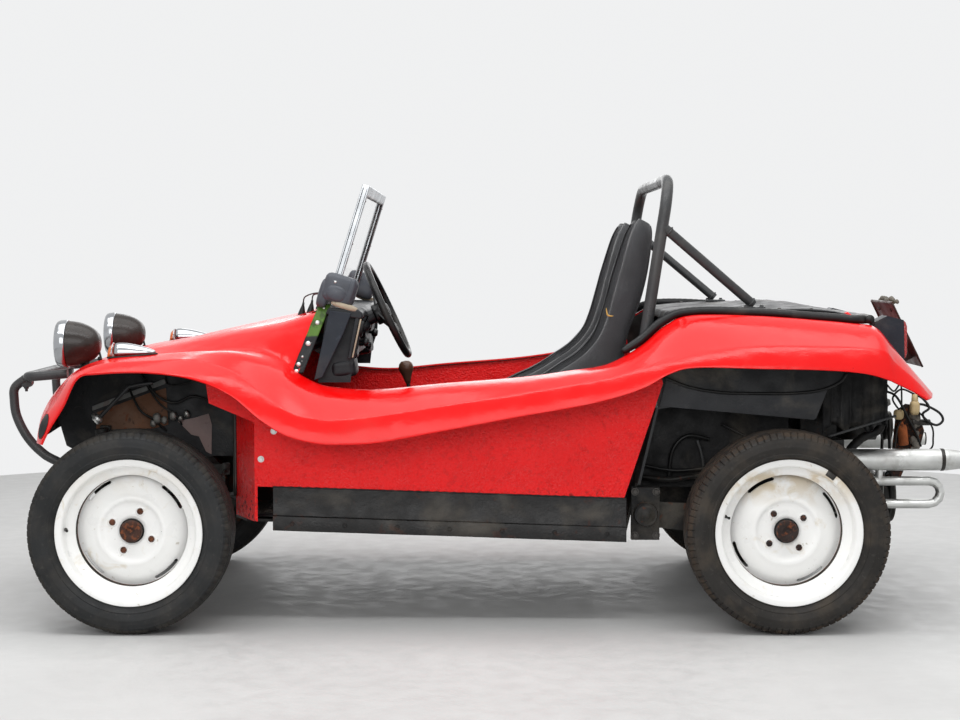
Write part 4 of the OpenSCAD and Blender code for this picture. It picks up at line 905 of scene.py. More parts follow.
def make_tub():
    keep("side_panels", "panel")
    keep("front_bulkhead", "inside")
    keep("rear_bulkhead", "cover")
    keep("rear_well", "cover")
    keep("floor_pan", "chassis")
    keep("frame_head", "chassis")
    outer = HALF_TUB
    pieces = []
    for x, z in ((0.6785, 0.609), (0.7187, 0.522)):
        for s in (LEFT, RIGHT):
            pieces.append(bolt("stud", (x, s * outer, z), (0, s, 0), 0.014, 0.006))
    place(join("panel_bolts", pieces), slot="panel_red", mat="rivet")
    strip = []
    for s in (LEFT, RIGHT):
        low = Vector((F - 0.2885, s * 0.4385, AXLE_Z + 0.08))
        high = Vector((F - 0.2885, s * 0.4385, AXLE_Z + 0.5))
        strip.append(tube("edge", [low.lerp(high, k / 12) for k in range(13)], 0.007, 10))
    place(join("panel_front_edge", strip), slot="chassis_black", mat="steel")


def make_sills():
    """Folded sheet sills: a bright-worn upper flange, a flat face and a ledge below with its bolts."""
    height, depth, ledge, ledge_h = 0.135, 0.060, 0.012, 0.045
    x0, x1 = R + 0.484, F - 0.424
    for s, name in SIDES:
        parts = []
        count = 60
        rows = []
        profile = [(-depth, 0), (-0.006, 0), (-0.001, -0.001), (0.0, -0.006), (0.0, -0.084),
                   (0.002, -0.088), (ledge - 0.002, -height + ledge_h), (ledge, -height + ledge_h - 0.004),
                   (ledge, -height + 0.003), (ledge - 0.003, -height), (-depth, -height)]
        for i in range(count + 1):
            x = x0 + (x1 - x0) * i / count
            top = pan_z(x)
            rows.append([Vector((x, s * (HALF_TUB + dy + 0.0008 * noise.noise(Vector((x * 5, dz * 14, s)))),
                                 top + dz + 0.0008 * noise.noise(Vector((x * 4, 3, dz * 8)))))
                         for dy, dz in profile])
        box = grid_mesh("sill", rows, closed=True)
        edit(box, cap_ends)
        parts.append(sharp_by_angle(outward(box), 40))
        for k in range(7):
            x = x0 + 0.06 + k * (x1 - x0 - 0.12) / 6
            parts.append(bolt("sill_bolt", (x, s * (HALF_TUB + ledge), pan_z(x) - 0.112), (0, s, 0), 0.011,
                              0.004))
        weld = [Vector((x0 + (x1 - x0) * t, s * (HALF_TUB + 0.001), pan_z(x0 + (x1 - x0) * t) + 0.0006))
                for t in (k / 80 for k in range(81))]
        parts.append(tube("seam", weld, lambda t: 0.0022 + 0.0008 * math.sin(t * 260), 8))
        place(join("sill_" + name, parts), slot="chassis_black", mat="sill")
    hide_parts("sills")


make_tub()
make_sills()


# ---------------------------------------------------------------- wheels


def round_profile(points, radius, closed=True, steps=3):
    """Rounds the corners of an (r, y) outline in millimetres."""
    pts = [Vector((p[0], p[1], 0)) for p in points]
    out = []
    count = len(pts)
    for i, b in enumerate(pts):
        if not closed and i in (0, count - 1):
            out.append(b)
            continue
        a, c = pts[i - 1], pts[(i + 1) % count]
        r = min(radius, (a - b).length * CORNER_SHARE, (c - b).length * CORNER_SHARE)
        out += corner_arc(b + (a - b).normalized() * r, b, b + (c - b).normalized() * r, steps)
    return [(p.x / 1000, p.y / 1000) for p in out]


class Wheel:
    """Places on one wheel: distances in millimetres out from its centre plane and from its axis."""

    def __init__(self, name):
        self.name = name
        self.hub = centre("tyre_" + name)
        self.side = LEFT if self.hub.y > 0 else RIGHT
        self.axis = Vector((0, self.side, 0))
        self.body = "wheel_" + name
        self.front = name.startswith("front")

    def at(self, angle, r, out):
        a = math.radians(angle)
        return self.hub + Vector((-math.cos(a) * r, self.side * out, math.sin(a) * r)) / 1000

    def turned(self, label, profile, sides=96, closed=False):
        return lathe(label, profile, self.hub, self.axis, sides, closed)

    def sheet(self, label, profile, sides, hole=None):
        """A turned sheet, with faces left out where hole(angle, r) says so."""
        rows = [[self.at(360 * k / sides, r, h) for k in range(sides)] for r, h in profile]
        faces = []
        for i in range(len(rows) - 1):
            for k in range(sides):
                middle = (profile[i][0] + profile[i + 1][0]) / 2
                if hole and hole(360 * (k + 0.5) / sides, middle):
                    continue
                n = (k + 1) % sides
                faces.append((i * sides + k, i * sides + n, (i + 1) * sides + n, (i + 1) * sides + k))
        obj = mesh_from(label, [p for row in rows for p in row], faces)

        def aim(bm):
            bmesh.ops.recalc_face_normals(bm, faces=bm.faces)
            flat = max(bm.faces, key=lambda f: abs(f.normal.y))
            if flat.normal.y * self.side < 0:
                bmesh.ops.reverse_faces(bm, faces=bm.faces)
            bmesh.ops.delete(bm, geom=[v for v in bm.verts if not v.link_faces], context="VERTS")

        return edit(obj, aim)


BOLT_CIRCLE_R = 65
DISC_FACE = 11
BARREL = [(225, 70), (225, 65), (207, 64), (207, 27), (178, 14), (178, -24), (207, -36), (207, -64),
          (225, -65), (225, -70), (201, -70), (201, -36), (172, -24), (172, 14), (184, 22), (200, 27),
          (201, 58), (206, 67), (217, 69)]
DISC = [(34, DISC_FACE), (50, DISC_FACE), (72, DISC_FACE), (84, 11.4), (89, 13.5), (93, 17), (97, 18.4),
        (103, 18.4), (107, 17), (112, 13.5), (119, 10.6), (128, 6.6), (140, 1.2), (150, -3.6), (156, -6.8),
        (158, -7.8), (160, -8.8), (163, -10.2), (166, -11.5), (168, -12.4), (170, -13), (172.6, -13.4)]


def make_rim(w, bolt_angle, slot_angle):
    barrel = w.turned("barrel", round_profile(BARREL, 3.5), 120, closed=True)
    barrel.data.materials.append(MAT["rear_white" if not w.front else "white"])
    barrel.data.materials.append(MAT["rim_inside"])

    # The barrel's inner half takes the dark inner paint: dirt, with painted shade over the white.
    def inner_faces(bm):
        for f in bm.faces:
            c = f.calc_center_median() - w.hub
            if c.y * w.side < 0.006:
                f.material_index = 1

    edit(barrel, inner_faces)

    def slotted(angle, r):
        off = abs((angle - slot_angle + 45) % 90 - 45)
        reach = 16.5 - 1.4 * abs(r - 162.5) / 4.5
        return 158 < r < 168 and off < reach

    disc = w.sheet("disc", DISC, 360, slotted)
    disc.data.materials.append(MAT["rear_white" if not w.front else "white"])
    disc.data.materials.append(MAT["rim_inside"])
    # The disc's back takes the dark inner paint too: dirt and painted shade.
    thicken(disc, 0.005).material_offset = 1
    seats = []
    for k in range(4):
        spot = w.at(bolt_angle + 90 * k, BOLT_CIRCLE_R, DISC_FACE)
        seats.append(lathe("seat", [(0.0085, -0.001), (0.0105, 0.0012), (0.0135, 0.0016), (0.0155, 0.0002),
                                    (0.0157, -0.002)], spot, w.axis, 32))
    for s in seats:
        s.data.materials.append(MAT["white"])
    rim = join("rim_" + w.name + "_steel", [barrel, disc, *seats])
    place(rim, w.body, "rim_white", "rim_" + w.name)


def make_hub(w, bolt_angle):
    bolts = []
    for k in range(4):
        spot = w.at(bolt_angle + 90 * k, BOLT_CIRCLE_R, DISC_FACE)
        head = lathe("head", [(0, 0.0085), (0.0062, 0.0085), (0.0084, 0.0072), (0.0088, 0.002),
                              (0.0098, -0.001), (0.0098, -0.004)], spot, w.axis, 6)
        bolts.append(sharp_by_angle(head, 25))
        bolts.append(lathe("cone", [(0.0088, 0.001), (0.0115, -0.0002), (0.0118, -0.003)], spot, w.axis,
                           28))
        bolts.append(lathe("dimple", [(0, 0.0087), (0.0035, 0.0092), (0.0048, 0.0086)], spot, w.axis, 20))
    place(join("bolts_" + w.name, bolts), w.body, "drum_brown", mat="rust" if w.front else "dark_rust")
    ring = w.turned("ring", round_profile([(30, 8), (30, 14), (36.5, 14), (38.5, 11.4), (38.5, 8)], 1.2),
                    64, closed=True)
    place(ring, w.body, "drum_brown", mat="wire").name = "hub_ring_" + w.name
    cap_profile = [(33.5, 10), (33.5, 30), (32.6, 34), (30, 37.4), (26, 39), (17, 39.2), (13.5, 38.2),
                   (12, 35.4), (5, 34.8), (4.2, 36.2), (0, 36.4)]
    cap = w.turned("cap", round_profile(cap_profile, 1.2, closed=False, steps=2), 64)
    drum_profile = [(18, -47), (113, -47), (115, -45), (115, -34), (112, -32), (112, -28), (115, -26),
                    (115, -14), (112, -12), (112, -8), (114, -6), (113, 3), (108, 5), (20, 5)]
    drum = w.turned("drum", round_profile(drum_profile, 1.5, closed=False, steps=2), 96)
    place(join("hub_" + w.name, [cap, drum]), w.body, "drum_brown", "drum_" + w.name,
          "drum" if w.front else "dark_rust")


TREAD_PITCH = 90


def make_tyre(w):
    """A turned carcass whose rows dip at the grooves and whose columns dip at the shoulder sipes."""
    wall = [(207.5, 55), (208, 63.7), (222, 64.2), (227.5, 66), (231, 70), (236, 80), (240, 83.2),
            (241.5, 85.2), (243.5, 85.4), (245, 84.8), (250, 87), (262, 89.2), (264, 89.9), (267, 89.9),
            (269, 89.4), (275, 89.8), (285, 88.3), (289, 87), (290.5, 87.2), (293, 85), (296, 82.6),
            (300, 79.4), (303.5, 75.5)]
    crown = []
    groove = (22, 48)
    places = [72, 67, 60, 54, 51.2, 50.6, 45.4, 44.8, 38, 30, 25.2, 24.6, 19.4, 18.8, 12, 5, 0]
    for y in places:
        r = 311 - (y / 70) ** 2 * 3.5
        deep = any(abs(y - g) < 2.9 for g in groove)
        crown.append((r - (6.5 if deep else 0), y))
    half = wall + crown
    profile = half + [(r, -y) for r, y in reversed(half[:-1])]
    columns = TREAD_PITCH * 4
    shift = (0.0, 0.36, 0.5, 0.64)
    sipe = 3.4 if not w.front else 1.6
    rows = []
    for r, y in profile:
        shoulder = max(0.0, min(1.0, (abs(y) - 52) / 8)) * max(0.0, min(1.0, (r - 288) / 6))
        ring = []
        for k in range(columns):
            step, part = divmod(k, 4)
            angle = 360 * (step + shift[part]) / TREAD_PITCH
            dip = sipe * shoulder if part == 2 else 0.0
            if w.front and part == 2 and 28 < abs(y) < 44:
                dip = 0.9
            ring.append(w.at(angle, r - dip, y * (1 - 0.012 * (part == 2) * shoulder)))
        rows.append(ring)
    obj = grid_mesh("tyre", rows, closed=True)
    outward(obj)
    name = "front" if w.front else "rear"
    obj.data.materials.append(MAT[name + "_tyre"])
    obj.data.materials.append(MAT[name + "_tread"])

    tread_r = 0.2965
    crease = math.radians(38)

    def tread_faces(bm):
        for f in bm.faces:
            c = f.calc_center_median() - w.hub
            if math.hypot(c.x, c.z) > tread_r:
                f.material_index = 1
        for e in bm.edges:
            e.smooth = not (len(e.link_faces) == 2 and e.calc_face_angle(0) > crease)

    edit(obj, tread_faces)
    obj.name = "tyre_piece_" + w.name
    place(obj, w.body, "tyre_black", "tyre_" + w.name)


def make_valve(w, angle):
    path = [w.at(angle, 197, 34), w.at(angle, 195, 44), w.at(angle, 190, 56), w.at(angle, 188, 61)]
    stem = tube("stem", spline(path, 4), lambda t: 0.0055 if t < 0.25 else (0.0034 if t < 0.7 else 0.0042),
                14)
    place(stem, w.body, "tyre_black", mat="wire").name = "valve_" + w.name


def make_weight(w, angle):
    rows = []
    for k in range(9):
        a = angle + k - 4
        size = 1 - (abs(k - 4) / 4) ** 4 * 0.5
        rows.append([w.at(a, 207, 66.4), w.at(a, 208, 66 + 5 * size), w.at(a, 214, 66.8 + 5.4 * size),
                     w.at(a, 222, 67.4 + 4.4 * size), w.at(a, 225.6, 69 + 2 * size), w.at(a, 226, 66)])
    piece = grid_mesh("weight", rows, closed=True)
    edit(piece, cap_ends)
    place(outward(piece), w.body, "tyre_black", mat="steel").name = "balance_weight_" + w.name


def make_wheels():
    angles = {"front_left": (66.5, 40, 178), "rear_left": (37, 29, 166),
              "front_right": (22, 51, 80), "rear_right": (70, 12, 205)}
    for name in WHEELS:
        w = Wheel(name)
        bolt_angle, slot_angle, valve_angle = angles[name]
        make_rim(w, bolt_angle, slot_angle)
        make_hub(w, bolt_angle)
        make_tyre(w)
        make_valve(w, valve_angle)
        seam = w.turned("seam", [(0.1726 + 0.0016 * math.cos(a), -0.0132 + 0.0016 * math.sin(a))
                                 for a in (2 * math.pi * k / 8 for k in range(8))], 144, closed=True)
        place(seam, w.body, "rim_white", mat="rust").name = "disc_seam_" + name
    make_weight(Wheel("rear_left"), 55)
    make_weight(Wheel("front_right"), 130)


make_wheels()


# ---------------------------------------------------------------- seats

# Matched points up the seat, ahead of the rear axle and above its floor, in millimetres:
# the raised side's top, the sitting surface, the shell behind it, and the half width there.
SEAT_ROWS = [
    ((934, 130), (928, 150), (905, 64), 168), ((950, 205), (938, 225), (885, 62), 186),
    ((953, 275), (934, 285), (860, 62), 194), ((944, 335), (914, 322), (835, 62), 198),
    ((905, 382), (872, 346), (790, 65), 200), ((840, 416), (800, 363), (720, 70), 201),
    ((738, 465), (735, 370), (640, 80), 202), ((674, 508), (672, 368), (580, 110), 203),
    ((622, 543), (610, 374), (530, 190), 203), ((582, 583), (562, 415), (505, 300), 203),
    ((555, 623), (536, 500), (498, 430), 202), ((534, 680), (513, 600), (487, 520), 200),
    ((520, 730), (494, 690), (471, 615), 197), ((505, 790), (472, 775), (436, 705), 192),
    ((484, 860), (454, 855), (413, 790), 184), ((464, 922), (441, 915), (399, 875), 172),
    ((447, 958), (433, 948), (394, 930), 156), ((432, 978), (424, 970), (399, 960), 132),
]


def seat_profile(half, wing, sit, back):
    """The closed section of the bucket at one place: (y, point in the side plane) all the way round."""
    def mix(a, b, t):
        return (a[0] + (b[0] - a[0]) * t, a[1] + (b[1] - a[1]) * t)

    side = [(half - 34, back), (half - 10, mix(back, wing, 0.06)), (half - 1, mix(back, wing, 0.25)),
            (half, mix(back, wing, 0.55)), (half - 1, mix(back, wing, 0.8)),
            (half - 8, mix(back, wing, 0.94)), (half - 24, mix(back, wing, 1.0)),
            (half - 42, mix(wing, sit, 0.05)), (half - 58, mix(wing, sit, 0.35)),
            (half - 70, mix(wing, sit, 0.75)), (half - 88, mix(wing, sit, 0.97)), (half - 112, sit)]
    flat = max(half - 112, 20)
    middle = [(flat * t, sit) for t in (0.78, 0.76, 0.72, 0.5, 0.28, 0.26, 0.24)]
    line = side + middle + [(0, sit)]
    return line + [(-y, p) for y, p in reversed(line[:-1])]


def make_seat(side, name):
    floor = pan_z(R + 0.620) - 0.110
    rows = []
    dense = []
    for k in range(len(SEAT_ROWS) - 1):
        for step in range(4):
            dense.append((k, step / 4))
    dense.append((len(SEAT_ROWS) - 2, 1.0))

    def value(pick, k, t):
        a, b = pick(max(k - 1, 0)), pick(k)
        c, d = pick(k + 1), pick(min(k + 2, len(SEAT_ROWS) - 1))
        return tuple(0.5 * (2 * q + (r - p) * t + (2 * p - 5 * q + 4 * r - s) * t * t
                            + (3 * q - p - 3 * r + s) * t ** 3) for p, q, r, s in zip(a, b, c, d))

    lines = []
    for k, t in dense:
        wing, sit, back = (value(lambda i, n=n: SEAT_ROWS[i][n], k, t) for n in range(3))
        half = value(lambda i: (SEAT_ROWS[i][3],), k, t)[0]
        lines.append((half, wing, sit, back))
    for half, wing, sit, back in lines:
        outline = seat_profile(half, wing, sit, back)
        pts = [Vector((R + x / 1000, side * SEAT_Y + y / 1000, floor + h / 1000)) for y, (x, h) in outline]
        rows.append(pts)
    shell = grid_mesh("seat", rows, closed=True)
    edit(shell, cap_ends)
    outward(shell)

    def sew(bm):
        """Presses in the centre panel's sewn channels, and a line along the inside of each raised side."""
        bm.normal_update()
        count = len(rows[0])
        last = len(rows)
        bm.verts.ensure_lookup_table()
        for i in range(last):
            fade = max(0.0, min(1.0, (i - 12) / 6)) * max(0.0, min(1.0, (last - 10 - i) / 6))
            for j in range(count):
                v = bm.verts[i * count + j]
                if j in (13, count - 1 - 13, 17, count - 1 - 17):
                    v.co -= v.normal * 0.0055 * fade
                if j in (8, count - 1 - 8):
                    v.co -= v.normal * 0.0022 * fade

    edit(shell, sew)
    sub = shell.modifiers.new("smooth", "SUBSURF")
    sub.levels = sub.render_levels = 2
    apply_modifiers(shell)

    def wrinkle(bm):
        bm.normal_update()
        for v in bm.verts:
            p = v.co * 7
            n = noise.noise(p) * 0.0022 + noise.noise(v.co * Vector((30, 18, 12))) * 0.0012
            v.co += v.normal * n

    edit(shell, wrinkle)
    shell.name = name
    place(shell, slot="seat_vinyl", replaces=name.replace("_cushion", ""), mat="vinyl")

    piping = []
    for s in (LEFT, RIGHT):
        path = []
        for half, wing, sit, back in lines[8:-3]:
            x, h = wing[0] + (sit[0] - wing[0]) * 0.05, wing[1] + (sit[1] - wing[1]) * 0.05
            path.append(Vector((R + x / 1000, side * SEAT_Y + s * (half - 46) / 1000,
                                floor + h / 1000 - 0.0015)))
        piping.append(tube("piping", spline(path, 3), 0.0026, 8))
        path = []
        for half, wing, sit, back in lines[3:-2]:
            path.append(Vector((R + (back[0] + 3) / 1000, side * SEAT_Y + s * (half - 18) / 1000,
                                floor + (back[1] + 4) / 1000)))
        piping.append(tube("piping", spline(path, 3), 0.003, 8))
    place(join(name + "_piping", piping), slot="seat_vinyl", mat="vinyl")
    runners = []
    for x in (0.56, 0.86):
        foot = pan_z(R + x + 0.015) - 0.11 + 0.0003
        for s in (LEFT, RIGHT):
            y = side * SEAT_Y + s * 0.15
            outline = [(R + x - 0.014, foot), (R + x + 0.014, foot), (R + x + 0.014, floor + 0.07),
                       (R + x - 0.014, floor + 0.07)]
            runners.append(prism("runner", outline, y - 0.02, y + 0.02, 0.002))
    place(join(name + "_runners", runners), slot="chassis_black", mat="steel")


make_seat(LEFT, "seat_left_cushion")
make_seat(RIGHT, "seat_right_cushion")


def make_tear():
    """A short split in the driver's seat's outer face, with foam showing."""
    y = SEAT_Y + 0.203
    a = [Vector((-0.3572, y, 0.989)), Vector((-0.3590, y, 0.977)), Vector((-0.3625, y - 0.0005, 0.9665)),
         Vector((-0.372, y, 0.9635)), Vector((-0.380, y, 0.9640))]
    piece = tube("seat_tear", spline(a, 6),
                 lambda t: 0.0022 * math.sin(math.pi * min(max(t, 0.06), 0.97)) + 0.0006, 10)
    place(piece, slot="seat_vinyl", mat="foam")


make_tear()


# ---------------------------------------------------------------- tubes


def weld(at, axis, radius, wire=0.0028):
    """A rippled weld bead round a tube's end."""
    side = axis.normalized().orthogonal().normalized()
    up = axis.normalized().cross(side)
    path = []
    for k in range(49):
        a = 2 * math.pi * k / 48
        path.append(at + radius * (math.cos(a) * side + math.sin(a) * up))
    return tube("weld", path, lambda t: wire * (1 + 0.25 * math.sin(t * 130)), 8)


def make_hoop():
    radius = 0.0185
    lean = 0.153
    top_z = AXLE_Z + 1.099 - radius
    top_x = R + 0.348
    leg_x = top_x + (top_z - AXLE_Z - 0.105) * lean
    foot_z = pan_z(leg_x + 0.048) + 0.0003
    foot = Vector((top_x + (top_z - foot_z) * lean, HOOP_Y, foot_z))
    parts = []
    arc = []
    bend = 0.11
    for a in range(0, 91, 6):
        t = math.radians(a)
        arc.append(Vector((top_x + bend * (1 - math.sin(t)) * lean, HOOP_Y - bend * (1 - math.cos(t)),
                           top_z - bend + bend * math.sin(t))))
    leg = [foot.lerp(arc[0], k / 14) for k in range(14)]
    half = leg + arc
    path = half + [flip(p) for p in reversed(half)]
    parts.append(tube("hoop", path, radius, 28))
    for s in (LEFT, RIGHT):
        a = Vector((R + 0.353, s * HOOP_Y, AXLE_Z + 0.919))
        b = Vector((R + 0.080, s * 0.4815, AXLE_Z + 0.688))
        d = (b - a).normalized()
        inner = a - d * 0.022
        parts.append(tube("brace", [inner.lerp(b, k / 10) for k in range(11)], 0.015, 24))
        parts.append(weld(a + d * 0.004, d, 0.0152))
        parts.append(weld(b - d * 0.01, d, 0.0152))
        x, z = R + 0.080, AXLE_Z + 0.674
        outline = [(x - 0.035, z + 0.0003), (x + 0.035, z + 0.0003), (x + 0.035, z + 0.008),
                   (x - 0.035, z + 0.008)]
        parts.append(prism("pad", outline, s * 0.4495, s * 0.5095, 0.0018))
        for bx in (-0.024, 0.024):
            parts.append(bolt("pad_bolt", (x + bx, s * 0.496, z + 0.008), (0, 0, 1), 0.011, 0.006))
        outline = [(leg_x - 0.012, foot_z), (leg_x + 0.048, foot_z), (leg_x + 0.048, foot_z + 0.006),
                   (leg_x - 0.012, foot_z + 0.006)]
        parts.append(prism("foot", outline, s * (HOOP_Y - 0.0185), s * (HALF_TUB - 0.0085), 0.0015))
        parts.append(weld(Vector((foot.x, s * HOOP_Y, foot_z + 0.008)), Vector((0, 0, 1)), 0.019))
    place(join("hoop_tubes", parts), slot="tube_grey", replaces="roll_hoop", mat="tube")


def make_bumper():
    radius = 0.015
    bar_x, loop_x, loop_y = 415, 447, 300
    parts = []
    half = spline([front(262, 345, 462), front(bar_x - 40, 340, 452), front(bar_x - 15, 305, 450),
                   front(bar_x - 15, 200, 450)], 8)
    parts.append(tube("bar", half + [flip(p) for p in reversed(half)], radius, 24))
    for s in (LEFT, RIGHT):
        loop = [front(bar_x - 15, s * loop_y, 448), front(loop_x - 4, s * loop_y, 415),
                front(loop_x, s * loop_y, 375), front(loop_x - 8, s * loop_y, 320),
                front(loop_x - 40, s * loop_y, 255), front(loop_x - 85, s * loop_y, 205),
                front(loop_x - 135, s * loop_y, 174), front(170, s * loop_y, 112)]
        parts.append(tube("loop", spline(loop, 8), radius, 24))
        parts.append(weld(front(bar_x - 8, s * loop_y, 441), Vector((0.6, 0, -0.7)), 0.0155))
        outline = [(F + 0.1615, AXLE_Z + 0.099), (F + 0.1695, AXLE_Z + 0.099), (F + 0.1695, AXLE_Z + 0.138),
                   (F + 0.1615, AXLE_Z + 0.138)]
        parts.append(prism("bracket", outline, s * (loop_y - 25) / 1000, s * (loop_y + 25) / 1000, 0.0015))
        clamp = front(bar_x - 10, s * (loop_y - 4), 432)
        parts.append(tube("clamp",
                          [clamp + Vector((0, s * 0.016, 0)), clamp, clamp - Vector((0, s * 0.016, 0))],
                          0.0185, 20))
        parts.append(bolt("clamp_bolt", clamp + Vector((0, s * 0.012, -0.018)), (0, 0, -1), 0.011, 0.012))
    place(join("bumper_tubes", parts), slot="tube_grey", replaces="front_bumper", mat="tube")


make_hoop()
make_bumper()


# ---------------------------------------------------------------- lamps


def make_headlights():
    lamp_y = 0.390
    for s, name in SIDES:
        at = Vector((F + 0.284, s * lamp_y, AXLE_Z + 0.561))
        axis = Vector((1, 0, 0))
        radius = 0.0755
        bowl = []
        for a in range(0, 91, 5):
            t = math.radians(a)
            bowl.append(((radius - 0.003) * math.cos(t) ** 0.74 if a < 90 else 0.0,
                         -0.034 - 0.106 * math.sin(t) ** 1.1))
        bowl_piece = lathe("bowl", [(radius - 0.003, -0.02)] + bowl, at, axis, 72)
        place(bowl_piece, slot="lamp_black", replaces="headlights" if s == LEFT else (), mat="lamp")
        bowl_piece.name = "lamp_bowl_" + name
        ring = [(radius - 0.002, -0.037), (radius + 0.0004, -0.035), (radius + 0.0008, -0.030),
                (radius - 0.0004, -0.014), (radius - 0.003, -0.006), (radius - 0.007, -0.0025),
                (radius - 0.011, -0.004), (radius - 0.013, -0.012), (radius - 0.006, -0.030)]
        ring_piece = lathe("ring", ring, at, axis, 96, closed=True)
        reflector = lathe("reflector",
                          [(radius - 0.013, -0.010), (0.054, -0.034), (0.036, -0.052), (0.016, -0.062),
                           (0.013, -0.058), (0.010, -0.04), (0, -0.038)],
                          at, axis, 72)
        place(join("lamp_ring_" + name, [ring_piece, reflector]), slot="lamp_chrome", mat="chrome")
        glass = [(radius - 0.0125, -0.010), (0.056, -0.0065), (0.040, -0.0045), (0.020, -0.003),
                 (0, -0.0025)]
        glass_piece = lathe("glass", glass, at, axis, 72)
        place(glass_piece, slot="lamp_chrome", mat="clear_lens").name = "lamp_glass_" + name
        foot_z = station_point(3, 0).z
        foot = Vector((station_point(3, 0).x, s * lamp_y, foot_z))
        stalk = [(0.0, 0.076), (0.013, 0.072), (0.0145, 0.05), (0.0115, 0.036), (0.0115, 0.012),
                 (0.018, 0.006), (0.020, -0.004), (0.0, -0.004)]
        stalk_piece = lathe("stalk", stalk, foot, (0, 0, 1), 28)
        place(stalk_piece, slot="lamp_black", mat="wire").name = "lamp_stalk_" + name
        mount = station_point(3, 0) if s == LEFT else flip(station_point(3, 0))
        lead = spline([at + Vector((-0.132, 0, -0.02)), at + Vector((-0.14, 0.004, -0.05)),
                       mount + Vector((-0.04, -0.006 * s, 0.03)),
                       mount + Vector((-0.045, -0.006 * s, -0.004))], 6)
        place(tube("lead", lead, 0.0035, 10), slot="lamp_black", mat="wire").name = "lamp_lead_" + name


def make_indicators():
    """A long chromed teardrop with an orange lens at its front."""
    y0 = station_point(4, 2).y
    # [offset, foot height, top height, half width]
    rows = [(84, 529, 545, 20), (82, 528.5, 561, 26), (70, 529, 571, 29), (50, 530, 573.5, 30),
            (25, 532, 572, 29.5), (0, 534, 567, 27), (-25, 536, 561, 22), (-48, 538.5, 554, 15),
            (-63, 540, 547, 6)]
    for s, name in SIDES:
        grid = []
        for x, low, high, half in rows:
            ring = []
            for k in range(17):
                a = math.pi * k / 16
                lift = math.sin(a) ** 0.75
                ring.append(front(x - 2.5 * math.sin(a), 1000 * s * y0 + half * math.cos(a),
                                  low + (high - low) * lift))
            grid.append(ring)
        lens_rows = grid[:3]
        case_rows = grid[2:]
        case_piece = grid_mesh("case", case_rows, closed=True)
        edit(case_piece, cap_ends)
        outward(case_piece)
        smooth = case_piece.modifiers.new("smooth", "SUBSURF")
        smooth.levels = smooth.render_levels = 1
        rim = tube("rim", [p + Vector((0, 0, 0.0004)) for p in grid[2]], 0.0019, 8)
        place(join("indicator_case_" + name, [case_piece, rim]), slot="lamp_chrome",
              replaces="indicators" if s == LEFT else (), mat="chrome")
        lens_piece = grid_mesh("lens", lens_rows, closed=True)
        edit(lens_piece, cap_ends)
        place(outward(lens_piece), slot="lamp_chrome", mat="amber").name = "indicator_lens_" + name
        base = [front(x - 2, 1000 * s * y0 + q * (half + 2.5), low - 1) for q in (1, -1)
                for x, low, high, half in (rows if q > 0 else reversed(rows))]
        gasket = tube("gasket", spline(base + [base[0]], 3), 0.0028, 8)
        place(gasket, slot="lamp_black", mat="wire").name = "indicator_gasket_" + name


make_headlights()
make_indicators()


# ---------------------------------------------------------------- cockpit


def soften(node, mat, width=0.0016):
    """A CAD node that stays: a better material, and edges no longer knife-sharp."""
    obj = keep(node, mat)
    mod = obj.modifiers.new("edges", "BEVEL")
    mod.width = width
    mod.segments = 2
    mod.limit_method = "ANGLE"
    mod.angle_limit = math.radians(40)
    return obj


def move_across(piece):
    """Moves a piece that was built on the left to the right."""
    piece.data.transform(Matrix.Diagonal((1, -1, 1, 1)))
    piece.data.flip_normals()


COWL_EDGE = [(0.757, 0.566), (0.83, 0.5625), (0.90, 0.5535), (0.95, 0.541), (0.985, 0.526), (1.0, 0.516)]


def cowl_y(z):
    for (z0, y0), (z1, y1) in zip(COWL_EDGE, COWL_EDGE[1:]):
        if z <= z1:
            return y0 + (y1 - y0) * max(z - z0, 0) / (z1 - z0)
    return COWL_EDGE[-1][1]


def strip_at(t, across):
    """A place on the strip down the cowl's rear edge: t runs up it, and across from front to rear."""
    x = F - 0.481 - 0.083 * t - across * 0.038
    z = AXLE_Z + 0.474 + 0.213 * t + 0.003 * across
    return Vector((x, cowl_y(z) + 0.0035, z))


def make_strips():
    for s, name in SIDES:
        rows = []
        for i in range(41):
            t = i / 40
            rows.append([strip_at(t, a / 8) + Vector((0, 0.0012 * noise.noise(Vector((t * 9, a, 2))), 0))
                         for a in range(9)])
        strip = grid_mesh("strip", rows)
        thicken(strip, 0.0025, 1)
        strip.data.materials.append(MAT["strip"])
        parts = [strip]
        for t, a, size in ((0.74, 0.5, 0.016), (0.44, 0.42, 0.018), (0.25, 0.38, 0.009), (0.14, 0.3, 0.016),
                           (0.04, 0.35, 0.015), (0.95, 0.55, 0.01)):
            spot = strip_at(t, a) + Vector((0, 0.001, 0))
            dome = [(0, 0.0042), (size * 0.25, 0.0038), (size * 0.42, 0.0024), (size * 0.5, 0),
                    (size * 0.5, -0.002)]
            head = lathe("rivet", dome, spot, (0, 1, 0), 20)
            head.data.materials.append(MAT["rivet"])
            parts.append(head)
        piece = join("cowl_strip_" + name, parts)
        if s == RIGHT:
            move_across(piece)
        place(piece, slot="strip_green", replaces="screen_pillars" if s == LEFT else ())


SCREEN_FOOT = Vector((F - 0.600, 0, AXLE_Z + 0.700))
SCREEN_TOP = Vector((F - 0.712, 0, AXLE_Z + 1.062))
SCREEN_UP = (SCREEN_TOP - SCREEN_FOOT).normalized()
SCREEN_OUT = Vector((SCREEN_UP.z, 0, -SCREEN_UP.x))
SCREEN_H = (SCREEN_TOP - SCREEN_FOOT).length


def on_screen(y, h, out=0.0):
    return SCREEN_FOOT + SCREEN_UP * h + SCREEN_OUT * out + Vector((0, y, 0))


